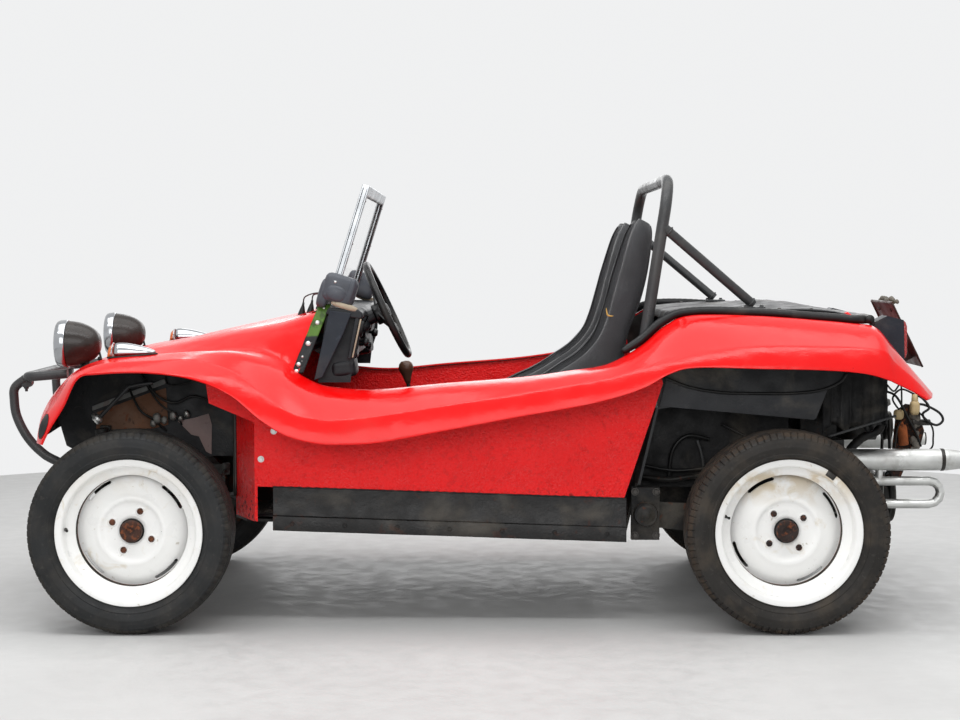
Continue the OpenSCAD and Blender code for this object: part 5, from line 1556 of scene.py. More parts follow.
def make_windscreen():
    """An aluminium channel frame with mitred corners, rubber beads round the glass and a bright inner lip."""
    w, t = 0.032, 0.024
    corners = [(-0.5, 0.0), (0.5, 0.0), (0.5, SCREEN_H), (-0.5, SCREEN_H)]
    inside = [(1, 1), (-1, 1), (-1, -1), (1, -1)]
    # (distance in from the outer edge, distance towards the front)
    section = [(0.0015, t / 2), (w * 0.42, t / 2), (w * 0.46, t / 2 - 0.002), (w * 0.55, t / 2 - 0.002),
               (w * 0.6, t / 2), (w - 0.004, t / 2), (w, t / 2 - 0.004), (w, 0.0045), (w - 0.008, 0.0035),
               (w - 0.008, -0.0035), (w, -0.0045), (w, -t / 2 + 0.004), (w - 0.004, -t / 2),
               (0.0015, -t / 2), (0, -t / 2 + 0.0015), (0, t / 2 - 0.0015)]
    rows = [[on_screen(c[0] + s[0] * d, c[1] + s[1] * d, o) for d, o in section]
            for c, s in zip(corners, inside)]
    rows.append(rows[0])
    frame_piece = grid_mesh("channel", rows, closed=True, smooth=False)
    edit(frame_piece, lambda bm: bmesh.ops.remove_doubles(bm, verts=bm.verts, dist=1e-6))
    outward(frame_piece)
    rounded(frame_piece, 0.0009, 2, 35)
    place(frame_piece, slot="screen_aluminium", replaces="windscreen_frame",
          mat="aluminium").name = "screen_channel"
    beads = []
    for out in (0.0055, -0.0055):
        inset = w + 0.0005
        path = []
        for (y, h), (sy, sh) in zip(corners, inside):
            path.append(on_screen(y + sy * inset, h + sh * inset, out))
        path.append(path[0])
        dense = []
        for a, b in zip(path, path[1:]):
            dense += [a.lerp(b, k / 20) for k in range(20)]
        beads.append(tube("bead", dense + [dense[0]], 0.0032, 8))
    place(join("screen_rubber", beads), slot="screen_aluminium", mat="wire")
    glass = keep("windscreen_glass", "glass")
    glass.visible_shadow = True
    rivets = []
    for y in (-0.484, 0.484):
        for h in (0.05, 0.19, 0.33):
            for out, axis in ((t / 2, SCREEN_OUT), (-t / 2, -SCREEN_OUT)):
                rivets.append(lathe("rivet", [(0, 0.002), (0.003, 0.0016), (0.0042, 0)],
                                    on_screen(y, h, out), axis, 14))
    place(join("screen_rivets", rivets), slot="screen_aluminium", mat="rivet")
    edges = []
    for s in (LEFT, RIGHT):
        path = [on_screen(s * 0.5008, 0.02 + k * (SCREEN_H - 0.03) / 20, t / 2 - 0.006) for k in range(21)]
        edges.append(tube("seam", path, 0.0012, 6))
        path = [on_screen(s * 0.5008, 0.02 + k * (SCREEN_H - 0.03) / 20, -t / 2 + 0.006) for k in range(21)]
        edges.append(tube("seam", path, 0.0008, 6))
    place(join("screen_side_seams", edges), slot="screen_aluminium", mat="wire")


# a box with its sides along the vehicle's own axes: up, ahead and to the left
UPRIGHT = (Vector((0, 0, 1)), Vector((1, 0, 0)), Vector((0, 1, 0)))


def pillow(name, at, half, up_dir, side_dir, out_dir, power=3.2, rings=14, sides=40):
    """A rounded box: half holds its half sizes along the side, up and out directions."""
    rows = []
    for i in range(rings + 1):
        lat = math.pi * (i / rings - 0.5)
        row = []
        for k in range(sides):
            lon = 2 * math.pi * k / sides
            d = Vector((math.cos(lat) * math.cos(lon), math.cos(lat) * math.sin(lon), math.sin(lat)))
            n = (abs(d.x) ** power + abs(d.y) ** power + abs(d.z) ** power) ** (1 / power)
            d /= n
            row.append(at + side_dir * d.x * half[0] + up_dir * d.y * half[1] + out_dir * d.z * half[2])
        rows.append(row)
    obj = grid_mesh(name, rows, closed=True)
    edit(obj, lambda bm: bmesh.ops.remove_doubles(bm, verts=bm.verts, dist=1e-6))
    return outward(obj)


def make_corner_covers():
    tilt = Vector((-0.30, 0, 0.954)).normalized()
    back = Vector((tilt.z, 0, -tilt.x))
    out = Vector((0, 1, 0))
    for s, name in SIDES:
        box = pillow("cover", Vector((0.476, 0.520, 1.047)), (0.053, 0.046, 0.040), tilt, back, out, 5.5)
        front_part = pillow("front", Vector((0.524, 0.520, 1.036)), (0.018, 0.046, 0.034), tilt, back, out,
                            4)
        pad = pillow("pad", Vector((0.485, 0.551, 1.036)), (0.034, 0.027, 0.016), tilt, back, out, 2.4)
        rib = pillow("rib", Vector((0.441, 0.548, 1.041)), (0.012, 0.042, 0.014), tilt, back, out, 3)
        tape = pillow("tape", Vector((0.460, 0.545, 0.996)), (0.044, 0.010, 0.016), tilt, back, out, 2.6)
        tape.data.materials.append(MAT["tape"])
        for p in (box, front_part, pad, rib):
            p.data.materials.append(MAT["corner"])
        screw = lathe("screw", [(0, 0.002), (0.0035, 0.0018), (0.0045, 0)], Vector((0.487, 0.5605, 1.071)),
                      out, 12)
        screw.data.materials.append(MAT["rivet"])
        piece = join("screen_corner_" + name, [box, front_part, pad, rib, tape, screw])
        if s == RIGHT:
            move_across(piece)
        place(piece, slot="dash_black")


def cable(name, points, radius=0.003, mat="wire", slot="chassis_black", steps=7, sides=10):
    return place(tube(name, spline(points, steps), radius, sides), slot=slot, mat=mat)


def make_cowl_fittings():
    """Two rubber boots on the cowl with leads to the screen's corner, the wipers and the cowl's seal."""
    parts = []
    for k, (x, y, z) in enumerate(((0.6177, 0.300, 0.957), (0.5875, 0.318, 0.965))):
        profile = [(0, 0.046), (0.0035, 0.045), (0.0042, 0.036), (0.0085, 0.022), (0.0115, 0.010),
                   (0.0125, 0.003), (0.017, 0.0015), (0.017, -0.004)]
        parts.append(lathe("boot", profile, (x, y, z), (-0.16, 0, 1), 24))
        top = Vector((x - 0.0065, y, z + 0.044))
        path = [top, top + Vector((-0.006, 0.01, 0.018)), top + Vector((-0.035, 0.06, 0.030 - 0.008 * k)),
                Vector((0.536, 0.47 + 0.01 * k, 1.036 - 0.006 * k)), Vector((0.520, 0.50, 1.030))]
        parts.append(tube("lead", spline(path, 7), 0.0022, 8))
    for y in (-0.12, 0.25):
        foot = front(-545, 1000 * y, 672)
        parts.append(lathe("spindle",
                           [(0, 0.034), (0.006, 0.033), (0.008, 0.028), (0.008, 0.01), (0.012, 0.006),
                            (0.015, 0), (0.015, -0.006)],
                           foot, (0, 0, 1), 24))
        tip = front(-588, 1000 * y - 205, 724)
        arm = [foot + Vector((0, 0, 0.028)), foot + Vector((-0.012, -0.06, 0.036)),
               foot.lerp(tip, 0.7) + Vector((0, 0, 0.012)), tip]
        parts.append(tube("arm", spline(arm, 6), lambda t: 0.0042 - 0.002 * t, 10))
        blade = [tip + Vector((0.0, dy, 0.001)) for dy in (-0.10, -0.03, 0.04, 0.13)]
        parts.append(tube("blade", spline(blade, 5), 0.0038, 8, 0.5))
    place(join("cowl_fittings", parts), slot="wheel_plastic", replaces="wipers", mat="wire")
    seal_y = 0.505
    path = [Vector((F - 0.572 - 0.018 * abs(y / 0.5) ** 3, y, AXLE_Z + 0.6755 - 0.012 * abs(y / 0.5) ** 3))
            for y in (-seal_y + 2 * seal_y * k / 40 for k in range(41))]
    place(join("cowl_seal", [tube("seal", path, 0.006, 10)]), slot="dash_black", mat="wire")


def make_dashboard():
    """The side boards, the shelf over the column, and the boxes, gauges and knobs under it."""
    face = F - 0.700
    gauge_y = (0.445, 0.24, 0.14, -0.05)
    board = []
    for s in (LEFT, RIGHT):
        outline = [(F - 0.600, AXLE_Z + 0.672), (F - 0.668, AXLE_Z + 0.664), (F - 0.643, AXLE_Z + 0.600),
                   (F - 0.577, AXLE_Z + 0.464), (F - 0.551, AXLE_Z + 0.455)]
        board.append(prism("board", outline, s * (HALF_TUB - 0.027), s * (HALF_TUB - 0.020), 0.002))
    place(join("dash_side_boards", board), slot="dash_black", mat="board")
    parts = []
    shelf = [(F - 0.586, AXLE_Z + 0.660), (F - 0.596, AXLE_Z + 0.680), (face + 0.012, AXLE_Z + 0.676),
             (face - 0.002, AXLE_Z + 0.664), (face - 0.002, AXLE_Z + 0.648), (face + 0.010, AXLE_Z + 0.646)]
    parts.append(prism("shelf", shelf, -HALF_TUB + 0.026, HALF_TUB - 0.026, 0.004, 3))
    side = [(F - 0.585, AXLE_Z + 0.655), (face + 0.006, AXLE_Z + 0.655), (F - 0.688, AXLE_Z + 0.560),
            (F - 0.668, AXLE_Z + 0.500), (F - 0.662, AXLE_Z + 0.446), (F - 0.560, AXLE_Z + 0.446)]
    parts += [prism("side", side, s * 0.520, s * 0.523) for s in (LEFT, RIGHT)]
    panel = [(face + 0.006, AXLE_Z + 0.655), (face + 0.020, AXLE_Z + 0.655), (face + 0.046, AXLE_Z + 0.520),
             (face + 0.034, AXLE_Z + 0.520)]
    parts.append(prism("panel", panel, -HALF_TUB + 0.028, HALF_TUB - 0.028, 0.003))
    up = Vector((0.14, 0, 0.99)).normalized()
    back = Vector((0.99, 0, -0.14)).normalized()
    out = Vector((0, 1, 0))
    for at, half in (((0.455, 0.455, 0.868), (0.028, 0.042, 0.060)),
                     ((0.470, 0.440, 0.800), (0.042, 0.030, 0.085)),
                     ((0.452, 0.20, 0.885), (0.040, 0.032, 0.050)),
                     ((0.46, -0.36, 0.852), (0.030, 0.05, 0.12))):
        parts.append(pillow("box", Vector(at), half, up, back, out, 7))
    for y in gauge_y:
        spot = Vector((face + 0.010, y, AXLE_Z + 0.610))
        radius = 0.040 if 0.1 < y < 0.3 else 0.026
        rim = [(radius, -0.03), (radius, 0.004), (radius - 0.004, 0.008), (radius - 0.008, 0.004),
               (radius - 0.009, 0)]
        parts.append(lathe("gauge", rim, spot, (-0.98, 0, -0.19), 40))
    place(join("dash_panel", parts), slot="dash_black", replaces="dashboard", mat="dash")
    faces = []
    for y in gauge_y:
        spot = Vector((face + 0.010, y, AXLE_Z + 0.610))
        radius = 0.031 if 0.1 < y < 0.3 else 0.017
        faces.append(lathe("dial", [(radius, 0.0012), (0.002, 0.0016), (0, 0.0016)], spot,
                           (-0.98, 0, -0.19), 32))
    place(join("dash_dials", faces), slot="dash_black", mat="glassy_black")
    knobs = []
    for y, z in ((0.500, 0.577), (0.36, 0.560), (0.02, 0.585), (-0.02, 0.585)):
        spot = Vector((face + 0.026, y, AXLE_Z + z))
        knobs.append(lathe("knob",
                           [(0, 0.045), (0.010, 0.044), (0.013, 0.038), (0.013, 0.030), (0.0075, 0.026),
                            (0.0045, 0.022), (0.0045, 0)],
                           spot, (-1, 0, -0.14), 24))
    place(join("dash_knobs", knobs), slot="wheel_plastic", mat="plastic")
    strip = [(face + 0.001, AXLE_Z + 0.645), (face + 0.006, AXLE_Z + 0.645), (face + 0.032, AXLE_Z + 0.525),
             (face + 0.027, AXLE_Z + 0.525)]
    place(prism("dash_edge", strip, HALF_TUB - 0.034, HALF_TUB - 0.0275, 0.0015), slot="dash_black",
          mat="tape")


def make_steering():
    """The wheel, its spokes and hub, and the column with its shroud, stalk and loose wires."""
    at = front(-768, 330, 668)
    tilt = math.radians(25)
    down = Vector((math.cos(tilt), 0, -math.sin(tilt)))
    side = Vector((0, 1, 0))
    up = side.cross(down) * -1
    ring_r = (0.340 - 0.024) / 2
    path = [at + ring_r * (math.cos(a) * side + math.sin(a) * up)
            for a in (2 * math.pi * k / 120 for k in range(121))]
    parts = []
    rows = []
    for i, p in enumerate(path[:-1]):
        a = 2 * math.pi * i / 120
        outward_dir = math.cos(a) * side + math.sin(a) * up
        ring = []
        for k in range(16):
            b = 2 * math.pi * k / 16
            r = 0.012 * (1 + 0.035 * math.cos(3 * b)) * (1 - 0.02 * (i % 2))
            ring.append(p + outward_dir * r * math.cos(b) + down * r * math.sin(b))
        rows.append(ring)
    rows.append(rows[0])
    rim = grid_mesh("rim", rows, closed=True)
    edit(rim, lambda bm: bmesh.ops.remove_doubles(bm, verts=bm.verts, dist=1e-6))
    parts.append(outward(rim))
    for k in range(3):
        a = math.radians(120 * k + 90)
        d = math.cos(a) * side + math.sin(a) * up
        across = d.cross(down)
        rows = []
        for i in range(9):
            t = i / 8
            c = at + d * (0.026 + (ring_r - 0.032) * t) + down * (0.030 * (1 - t) ** 1.3)
            w, th = 0.020 - 0.006 * math.sin(math.pi * t), 0.0032
            rows.append([c + across * w * x + down * th * y for x, y in
                         ((-1, -0.6), (-0.8, -1), (0.8, -1), (1, -0.6), (1, 0.6), (0.8, 1), (-0.8, 1),
                          (-1, 0.6))])
        spoke = grid_mesh("spoke", rows, closed=True)
        edit(spoke, cap_ends)
        parts.append(sharp_by_angle(outward(spoke), 50))
    hub = [(0, -0.008), (0.018, -0.006), (0.026, 0.0), (0.030, 0.010), (0.034, 0.020), (0.035, 0.038),
           (0.033, 0.0442), (0, 0.0442)]
    parts.append(lathe("hub", hub, at, down, 48))
    place(join("steering_wheel_rim", parts), "steering_wheel", "wheel_plastic", "steering_wheel", "plastic")

    soften("steering_column", "dash", 0.002)
    shroud = []
    start = at + 0.072 * down
    shroud.append(pillow("shroud", start + 0.045 * down + Vector((0, 0, -0.006)), (0.052, 0.028, 0.033), up,
                         down, side, 5))
    stalk = [start + 0.03 * down + side * 0.02, start + 0.028 * down + side * 0.07 + up * 0.01,
             start + 0.012 * down + side * 0.135 + up * 0.022]
    shroud.append(tube("stalk", spline(stalk, 6), lambda t: 0.0045 + 0.002 * t, 12))
    place(join("column_shroud", shroud), slot="dash_black", mat="dash")
    for k, (reach, drop) in enumerate(((0.016, 0.052), (0.030, 0.024))):
        a = start + 0.02 * down + side * 0.02 - up * 0.012
        b = Vector((F - 0.66, 0.36 + 0.02 * k, AXLE_Z + 0.640))
        middle = a.lerp(b, 0.4) + Vector((-reach, 0.03, drop * (1 if k else -0.4)))
        cable("column_wire_%d" % k, [a, middle, a.lerp(b, 0.75) + Vector((0, 0.02, 0.02)), b], 0.0026,
              "wire", "dash_black")


def make_controls():
    """The gear lever with its knob and boot, the handbrake and the pedals."""
    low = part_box("levers")[0]
    knob = front(-815, 0, 459)
    foot = Vector((F - 0.860, 0, low.z + 0.012))
    parts = []
    boot = [(0.040, 0.0), (0.036, 0.008), (0.030, 0.012), (0.032, 0.018), (0.024, 0.024), (0.026, 0.030),
            (0.018, 0.037), (0.020, 0.043), (0.010, 0.052), (0.0, 0.053)]
    parts.append(lathe("boot", boot, foot - Vector((0, 0, 0.010)), (0, 0, 1), 36))
    lever = [foot + Vector((0, 0, 0.02)), foot.lerp(knob, 0.5) + Vector((-0.006, 0, 0)),
             knob - Vector((0, 0, 0.02))]
    stem = tube("stem", spline(lever, 8), 0.0065, 14)
    top = (knob - foot).normalized()
    head = [(0, 0.026), (0.014, 0.024), (0.022, 0.016), (0.0255, 0.004), (0.024, -0.008), (0.017, -0.022),
            (0.012, -0.038), (0.008, -0.052), (0.0, -0.053)]
    knob_piece = lathe("knob", head, knob, top, 36)
    place(join("gear_lever", [*parts, stem]), slot="dash_black", replaces="levers", mat="wire")
    place(knob_piece, slot="dash_black", mat="knob").name = "gear_knob"
    grip = Vector((F - 1.010, 0, low.z + 0.02))
    tip = grip + Vector((-0.150, 0, 0.100))
    bar = tube("bar", [grip.lerp(tip, k / 10) for k in range(11)], lambda t: 0.0075 if t < 0.45 else 0.0115,
               16)
    button = lathe("button", [(0, 0.010), (0.004, 0.009), (0.005, 0), (0.005, -0.004)], tip, tip - grip, 14)
    base = pillow("base", grip - Vector((0, 0, 0.002)), (0.040, 0.014, 0.022), *UPRIGHT, 4)
    place(join("handbrake", [bar, button, base]), slot="dash_black", mat="wire")
    soften("pedals", "chassis", 0.002)


def make_tub_inside():
    """A thin mat on the floor on each side."""
    for s, name in SIDES:
        rows = []
        for i in range(25):
            x = -0.30 + (0.74 + 0.30) * i / 24
            z = pan_z(x) - 0.1095
            rows.append([Vector((x, s * (0.085 + 0.42 * j / 14),
                                 z + 0.004 + 0.0016 * noise.noise(Vector((x * 6, j, s))) + 0.0012 * (i % 2)))
                         for j in range(15)])
        mat = grid_mesh("mat", rows)
        thicken(mat, 0.003)
        place(mat, slot="chassis_black", mat="cover").name = "floor_mat_" + name


make_strips()
make_windscreen()
make_corner_covers()
make_cowl_fittings()
make_dashboard()
make_steering()
make_controls()
make_tub_inside()


# ---------------------------------------------------------------- rear body and engine


def make_rear_cover():
    """A stretched vinyl cover over the well behind the seats, slack and wrinkled at its rear."""
    edge = [(335, 634), (325, 658), (240, 668), (135, 674), (25, 674), (-60, 674), (-120, 672), (-170, 667),
            (-205, 660), (-224, 648), (-230, 632)]
    path = resample([Vector((R + x / 1000, 0, AXLE_Z + h / 1000)) for x, h in edge], 61)
    rows = []
    for p in path:
        along = (R + 0.335 - p.x) / 0.565
        row = []
        for j in range(49):
            v = j / 24 - 1
            slack = max(0.0, math.sin(math.pi * min(max((along - 0.42) / 0.56, 0), 1))) * (1 - abs(v) ** 4)
            fold = noise.noise(Vector((p.x * 34, v * 3.5, 3))) * 0.0035 * slack
            fold += noise.noise(Vector((p.x * 9, v * 7, 7))) * 0.002 * (1 - abs(v) ** 6)
            row.append(p + Vector((0, 0.5105 * v, 0.013 * slack + fold)))
        rows.append(row)
    cover = grid_mesh("rear_cover_skin", rows)
    thicken(cover, 0.004)
    place(cover, slot="cover_black", replaces="rear_cover", mat="cover")
    poppers = []
    for s in (LEFT, RIGHT):
        for x, h in ((300, 662), (200, 671), (100, 675), (0, 675), (-100, 674)):
            poppers.append(lathe("popper", [(0, 0.004), (0.004, 0.0035), (0.0065, 0.001), (0.007, -0.003)],
                                 Vector((R + x / 1000, s * 0.492, AXLE_Z + h / 1000)), (0, 0, 1), 16))
    place(join("cover_poppers", poppers), slot="cover_black", mat="steel")
    tabs = [pillow("tab", Vector((R - 0.226, s * 0.45, AXLE_Z + 0.655)), (0.012, 0.022, 0.005),
                   Vector((0, 1, 0)), Vector((0.8, 0, 0.6)), Vector((-0.6, 0, 0.8)), 4)
            for s in (LEFT, RIGHT)]
    place(join("cover_tabs", tabs), slot="cover_black", mat="panel")


def make_arch_sheets():
    """The black sheets in each rear arch with their piped seam, a black inner sheet as painted shade, those
    beside the engine, and hoses.
    """
    seam = [(366, 463), (285, 432), (192, 416), (105, 413), (-26, 413), (-119, 422), (-181, 447),
            (-203, 475)]
    for s, name in SIDES:
        line = spline([Vector((R + x / 1000, 0, AXLE_Z + h / 1000)) for x, h in seam], 6)
        upper = [(p.x, p.z - 0.004)
                 for p in line] + [(R - 0.200, AXLE_Z + 0.52), (R + 0.362, AXLE_Z + 0.52)]
        lower = side_outline(R, ((379, 372), (-104, 329), (-112, 334), (-147, 426), (105, 445), (354, 470)))
        place(prism("arch_upper_" + name, upper, s * 0.537, s * 0.541), slot="moulding_black", mat="liner")
        place(prism("arch_lower_" + name, lower, s * 0.5325, s * 0.5355, 0.0008), slot="moulding_black",
              mat="liner_grey")
        cable("arch_seam_" + name, [p + Vector((0, s * 0.5435, 0)) for p in line], 0.0048, "wire",
              "moulding_black", 1)
        # A flat black sheet inboard of each rear arch: painted shade, standing in for the dark space where
        # the gearbox, frame and hoses lie.
        inner = side_outline(R, ((438, 96), (432, 372), (385, 378), (120, 345), (-58, 326), (-62, 120),
                                 (60, 92)))
        place(prism("inner_sheet_" + name, inner, s * 0.333, s * 0.336), slot="engine_black", mat="grime_and_shade")
        rows = []
        for i in range(29):
            x = -0.148 - 0.208 * i / 28
            fold = 0.009 * math.sin(i * 0.9) + 0.006 * math.sin(i * 2.3 + 1)
            rows.append([Vector((R + x + 0.006 * noise.noise(Vector((i, j * 0.4, 1))),
                                 s * (0.430 + fold * (0.3 + j / 18)),
                                 AXLE_Z + 0.480 - (0.205 - 0.03 * abs(math.sin(i * 0.31))) * j / 14))
                         for j in range(15)])
        hanging = grid_mesh("engine_side_sheet_" + name, rows)
        thicken(hanging, 0.0022)
        place(hanging, slot="engine_black", mat="grime_and_shade")
        cable("side_rod_" + name, [rear(-168, s * 444, 268), rear(-381, s * 444, 334)], 0.0042, "tube",
              "engine_black", 10)
        for k, points in enumerate((
                ((330, 352, 110), (318, 360, 215), (270, 358, 262), (200, 350, 250)),
                ((215, 356, 118), (222, 360, 190), (238, 352, 248)),
                ((425, 352, 130), (330, 372, 122), (240, 366, 132), (120, 352, 120)),
                ((420, 350, 168), (300, 362, 150), (150, 358, 170), (20, 350, 200)),
                ((160, 350, 300), (60, 366, 250), (-20, 352, 210), (-52, 350, 150)))):
            cable("arch_hose_%s_%d" % (name, k), [rear(x, s * y, h) for x, y, h in points],
                  (0.007, 0.0045, 0.009, 0.006, 0.0045)[k], ("wire", "tube", "engine", "wire", "wire")[k],
                  "engine_black")


def make_tail():
    """Tail lamps with a red lens edge, the blank plate on its bracket and its crusty lamp."""
    soften("tail_lights", "board", 0.004)
    lenses = []
    for s in (LEFT, RIGHT):
        outline = side_outline(R, ((-392.5, 638), (-398.5, 634), (-403.5, 620), (-404.5, 535),
                                   (-400.5, 522), (-394.5, 517)))
        lenses.append(prism("lens", outline, s * 0.412, s * 0.488, 0.0025, 3))
    place(join("tail_lenses", lenses), slot="lamp_black", mat="red_lens")
    keep("number_plate", "number")
    tilt = math.radians(26)
    up = Vector((math.sin(tilt), 0, math.cos(tilt)))
    face = Vector((math.cos(tilt), 0, -math.sin(tilt)))
    foot = rear(-534, 0, 474)
    edges = []
    for s in (LEFT, RIGHT):
        side = [foot + up * (0.237 * k / 16) + Vector((0, s * 0.163, 0)) + face * 0.003 for k in range(17)]
        edges.append(tube("edge", side, lambda t: 0.0034 + 0.001 * noise.noise(Vector((t * 30, 0, 1))), 8))
    top = [foot + up * 0.235 + Vector((0, -0.163 + 0.326 * k / 24, 0)) + face * 0.003 for k in range(25)]
    edges.append(tube("edge", top, lambda t: 0.0036 + 0.0012 * noise.noise(Vector((t * 40, 0, 5))), 8))
    place(join("plate_edges", edges), slot="plate_paint", mat="plate_edge")
    crust = []
    for k in range(26):
        y = -0.10 + 0.24 * k / 25
        size = 0.005 + 0.004 * random.random()
        spot = (foot + up * (0.230 + 0.009 * random.random()) - face * (0.010 + 0.008 * random.random())
                + Vector((0, y, 0)))
        crust.append(pillow("lump", spot, (size * 1.3, size, size), Vector((0, 1, 0)), up, face,
                            2.2 + random.random(), 6, 10))
    place(join("plate_lamp", crust), slot="plate_paint", mat="crust")
    screws = [bolt("screw", foot + up * 0.208 + face * 0.002 + Vector((0, y, 0)), face, 0.011, 0.004)
              for y in (-0.09, 0.09)]
    place(join("plate_screws", screws), slot="plate_paint", mat="steel")


def make_engine():
    """Cooling fins, cover plates, coil, fuel and ignition parts, and hoses."""
    soften("engine", "engine", 0.003)
    fins, tins = [], []
    for s in (LEFT, RIGHT):
        for k in range(19):
            y = 0.131 + 0.0098 * k
            outline = side_outline(R, ((-375, 16), (-365, 4), (-243, 4), (-236, 14), (-229, 4), (-106, 4),
                                       (-95, 16), (-95, 112), (-106, 123.5), (-365, 123.5), (-375, 112)))
            fins.append(prism("fin", outline, s * y, s * (y + 0.0028)))
        cap = pillow("valve_cover", Vector((R - 0.235, s * 0.322, AXLE_Z + 0.062)), (0.130, 0.036, 0.020),
                     *UPRIGHT, 6)
        cap.data.materials.append(MAT["tin"])
        tins.append(cap)
    place(join("cylinder_fins", fins), slot="engine_black", mat="alloy")
    place(join("valve_covers", tins), slot="engine_black")
    soften("fan_shroud", "tin", 0.006)
    pulley = [(0, 0.006), (0.012, 0.006), (0.014, 0.0), (0.058, -0.002), (0.060, 0.003), (0.083, 0.003),
              (0.0855, 0.0), (0.0855, -0.003)]
    place(lathe("crank_pulley", pulley, rear(-465, 0, 20), (-1, 0, 0), 64), slot="engine_black",
          mat="steel")
    fan_pulley = [(0, 0.034), (0.010, 0.034), (0.012, 0.028), (0.044, 0.024), (0.048, 0.030),
                  (0.050, 0.028), (0.045, 0.018), (0.050, 0.008), (0.048, 0.004), (0.02, 0.002),
                  (0.02, -0.17), (0, -0.17)]
    hub = rear(-432, 0, 262)
    place(lathe("generator", [(0, -0.03), (0.045, -0.028), (0.048, -0.022), (0.048, -0.165), (0, -0.165)],
                hub, (-1, 0, 0), 48),
          slot="engine_black", mat="engine")
    place(lathe("generator_pulley", fan_pulley, hub, (-1, 0, 0), 48), slot="engine_black", mat="steel")
    belt = []
    for k in range(97):
        a = 2 * math.pi * k / 96
        big = rear(-448, 0, 20) + Vector((0, math.cos(a) * 0.084, math.sin(a) * 0.084))
        small = rear(-448, 0, 262) + Vector((0, math.cos(a) * 0.049, math.sin(a) * 0.049))
        belt.append(small if math.sin(a) > 0.0 else big)
    place(tube("fan_belt", belt, 0.0055, 8), slot="engine_black", mat="wire")
    body = []
    y = 0.200
    base = rear(-392, 1000 * y, 340)
    body.append(lathe("carburettor",
                      [(0, 0.064), (0.018, 0.062), (0.021, 0.052), (0.017, 0.048), (0.017, 0.030),
                       (0.026, 0.026), (0.027, 0.010), (0.018, 0.004), (0.016, -0.012), (0.024, -0.016),
                       (0.024, -0.022), (0, -0.022)],
                      base, (0.06, 0, 1), 32))
    body.append(pillow("bowl", base + Vector((0.012, 0.026, 0.02)), (0.018, 0.022, 0.020),
                       *UPRIGHT, 4))
    place(join("carburettor_body", body), slot="cast_alloy", mat="alloy")
    manifold = [rear(-262, 262, 116), rear(-268, 250, 190), rear(-318, 215, 238), rear(-380, 200, 268),
                rear(-392, 200, 322)]
    place(tube("inlet_pipe", spline(manifold, 8), 0.0145, 20), slot="cast_alloy", mat="grime_and_shade")
    cream = [pillow("cap", rear(-444, 205, 318), (0.0165, 0.0175, 0.0165), *UPRIGHT, 2.8),
             pillow("cap", rear(-497, 205, 340), (0.016, 0.024, 0.016), *UPRIGHT, 3.2),
             lathe("neck", [(0, 0.018), (0.010, 0.017), (0.011, 0.0), (0.011, -0.02), (0, -0.02)],
                   rear(-497, 205, 368), (0, 0, 1), 20)]
    place(join("ignition_caps", cream), slot="cast_alloy", mat="cream")
    coil = [(0, 0.036), (0.006, 0.036), (0.007, 0.026), (0.014, 0.024), (0.0165, 0.018), (0.0165, -0.038),
            (0.014, -0.042), (0, -0.042)]
    place(lathe("coil", coil, rear(-457, 208, 258), (0.12, 0, 1), 28), slot="cast_alloy", mat="orange_rust")
    bracket = side_outline(R, ((-440, 330), (-470, 352), (-516, 345), (-522, 300), (-534, 262), (-520, 205),
                               (-486, 176), (-455, 100), (-425, 98), (-430, 220)))
    place(prism("engine_bracket", bracket, 0.182, 0.188, 0.001), slot="cast_alloy", mat="dark_rust")
    stay = [rear(-428, 118, 100), rear(-440, 150, 108), rear(-445, 184, 125)]
    cable("bracket_stay", stay, 0.009, "dark_rust", "cast_alloy")
    lumps = []
    for k in range(34):
        spot = rear(-512 + 22 * random.random(), 196 + 12 * random.random(), 196 + 118 * random.random())
        size = 0.005 + 0.006 * random.random()
        lumps.append(pillow("lump", spot, (size, size * 1.4, size), *UPRIGHT, 2.4, 6, 8))
    place(join("bracket_crust", lumps), slot="cast_alloy", mat="crust")
    stub = [(0, 0.030), (0.008, 0.030), (0.0105, 0.027), (0.0105, -0.022), (0.0125, -0.024),
            (0.0125, -0.032), (0, -0.032)]
    place(lathe("hose_stub", stub, rear(-519, 205, 292), (-1, 0, 0), 24), slot="exhaust_silver",
          mat="steel")
    loop = [rear(-500, 208, 352), rear(-528, 214, 350), rear(-574, 216, 326), rear(-588, 216, 300),
            rear(-566, 218, 284), rear(-532, 220, 300), rear(-520, 222, 322), rear(-540, 224, 342),
            rear(-520, 215, 372), rear(-497, 206, 384)]
    cable("ignition_loop", loop, 0.0042, "wire", "engine_black")
    more = (((-497, 207, 384), (-450, 214, 402), (-420, 222, 372), (-444, 212, 334)),
            ((-392, 204, 396), (-430, 226, 380), (-470, 226, 310), (-500, 216, 256), (-520, 200, 212)),
            ((-505, 210, 330), (-548, 222, 284), (-556, 218, 240), (-548, 200, 200), (-470, 150, 170),
             (-430, 110, 112)),
            ((-452, 210, 296), (-436, 226, 272), (-430, 228, 230), (-426, 200, 170), (-420, 118, 102)),
            ((-360, 410, 430), (-400, 330, 404), (-440, 250, 420), (-452, 214, 336)),
            ((-400, 222, 358), (-372, 300, 330), (-345, 420, 350)))
    for k, points in enumerate(more):
        cable("engine_wire_%d" % k, [rear(*p) for p in points],
              (0.0032, 0.004, 0.003, 0.0026, 0.003, 0.0036)[k], "wire", "engine_black")
    for s, name in SIDES:
        cable("heater_pipe_" + name,
              [rear(-110, s * 260, 128), rear(-60, s * 262, 150), rear(20, s * 240, 130),
               rear(90, s * 190, 90), rear(160, s * 96, 60)],
              0.021, "grime_and_shade", "engine_black", 7, 18)


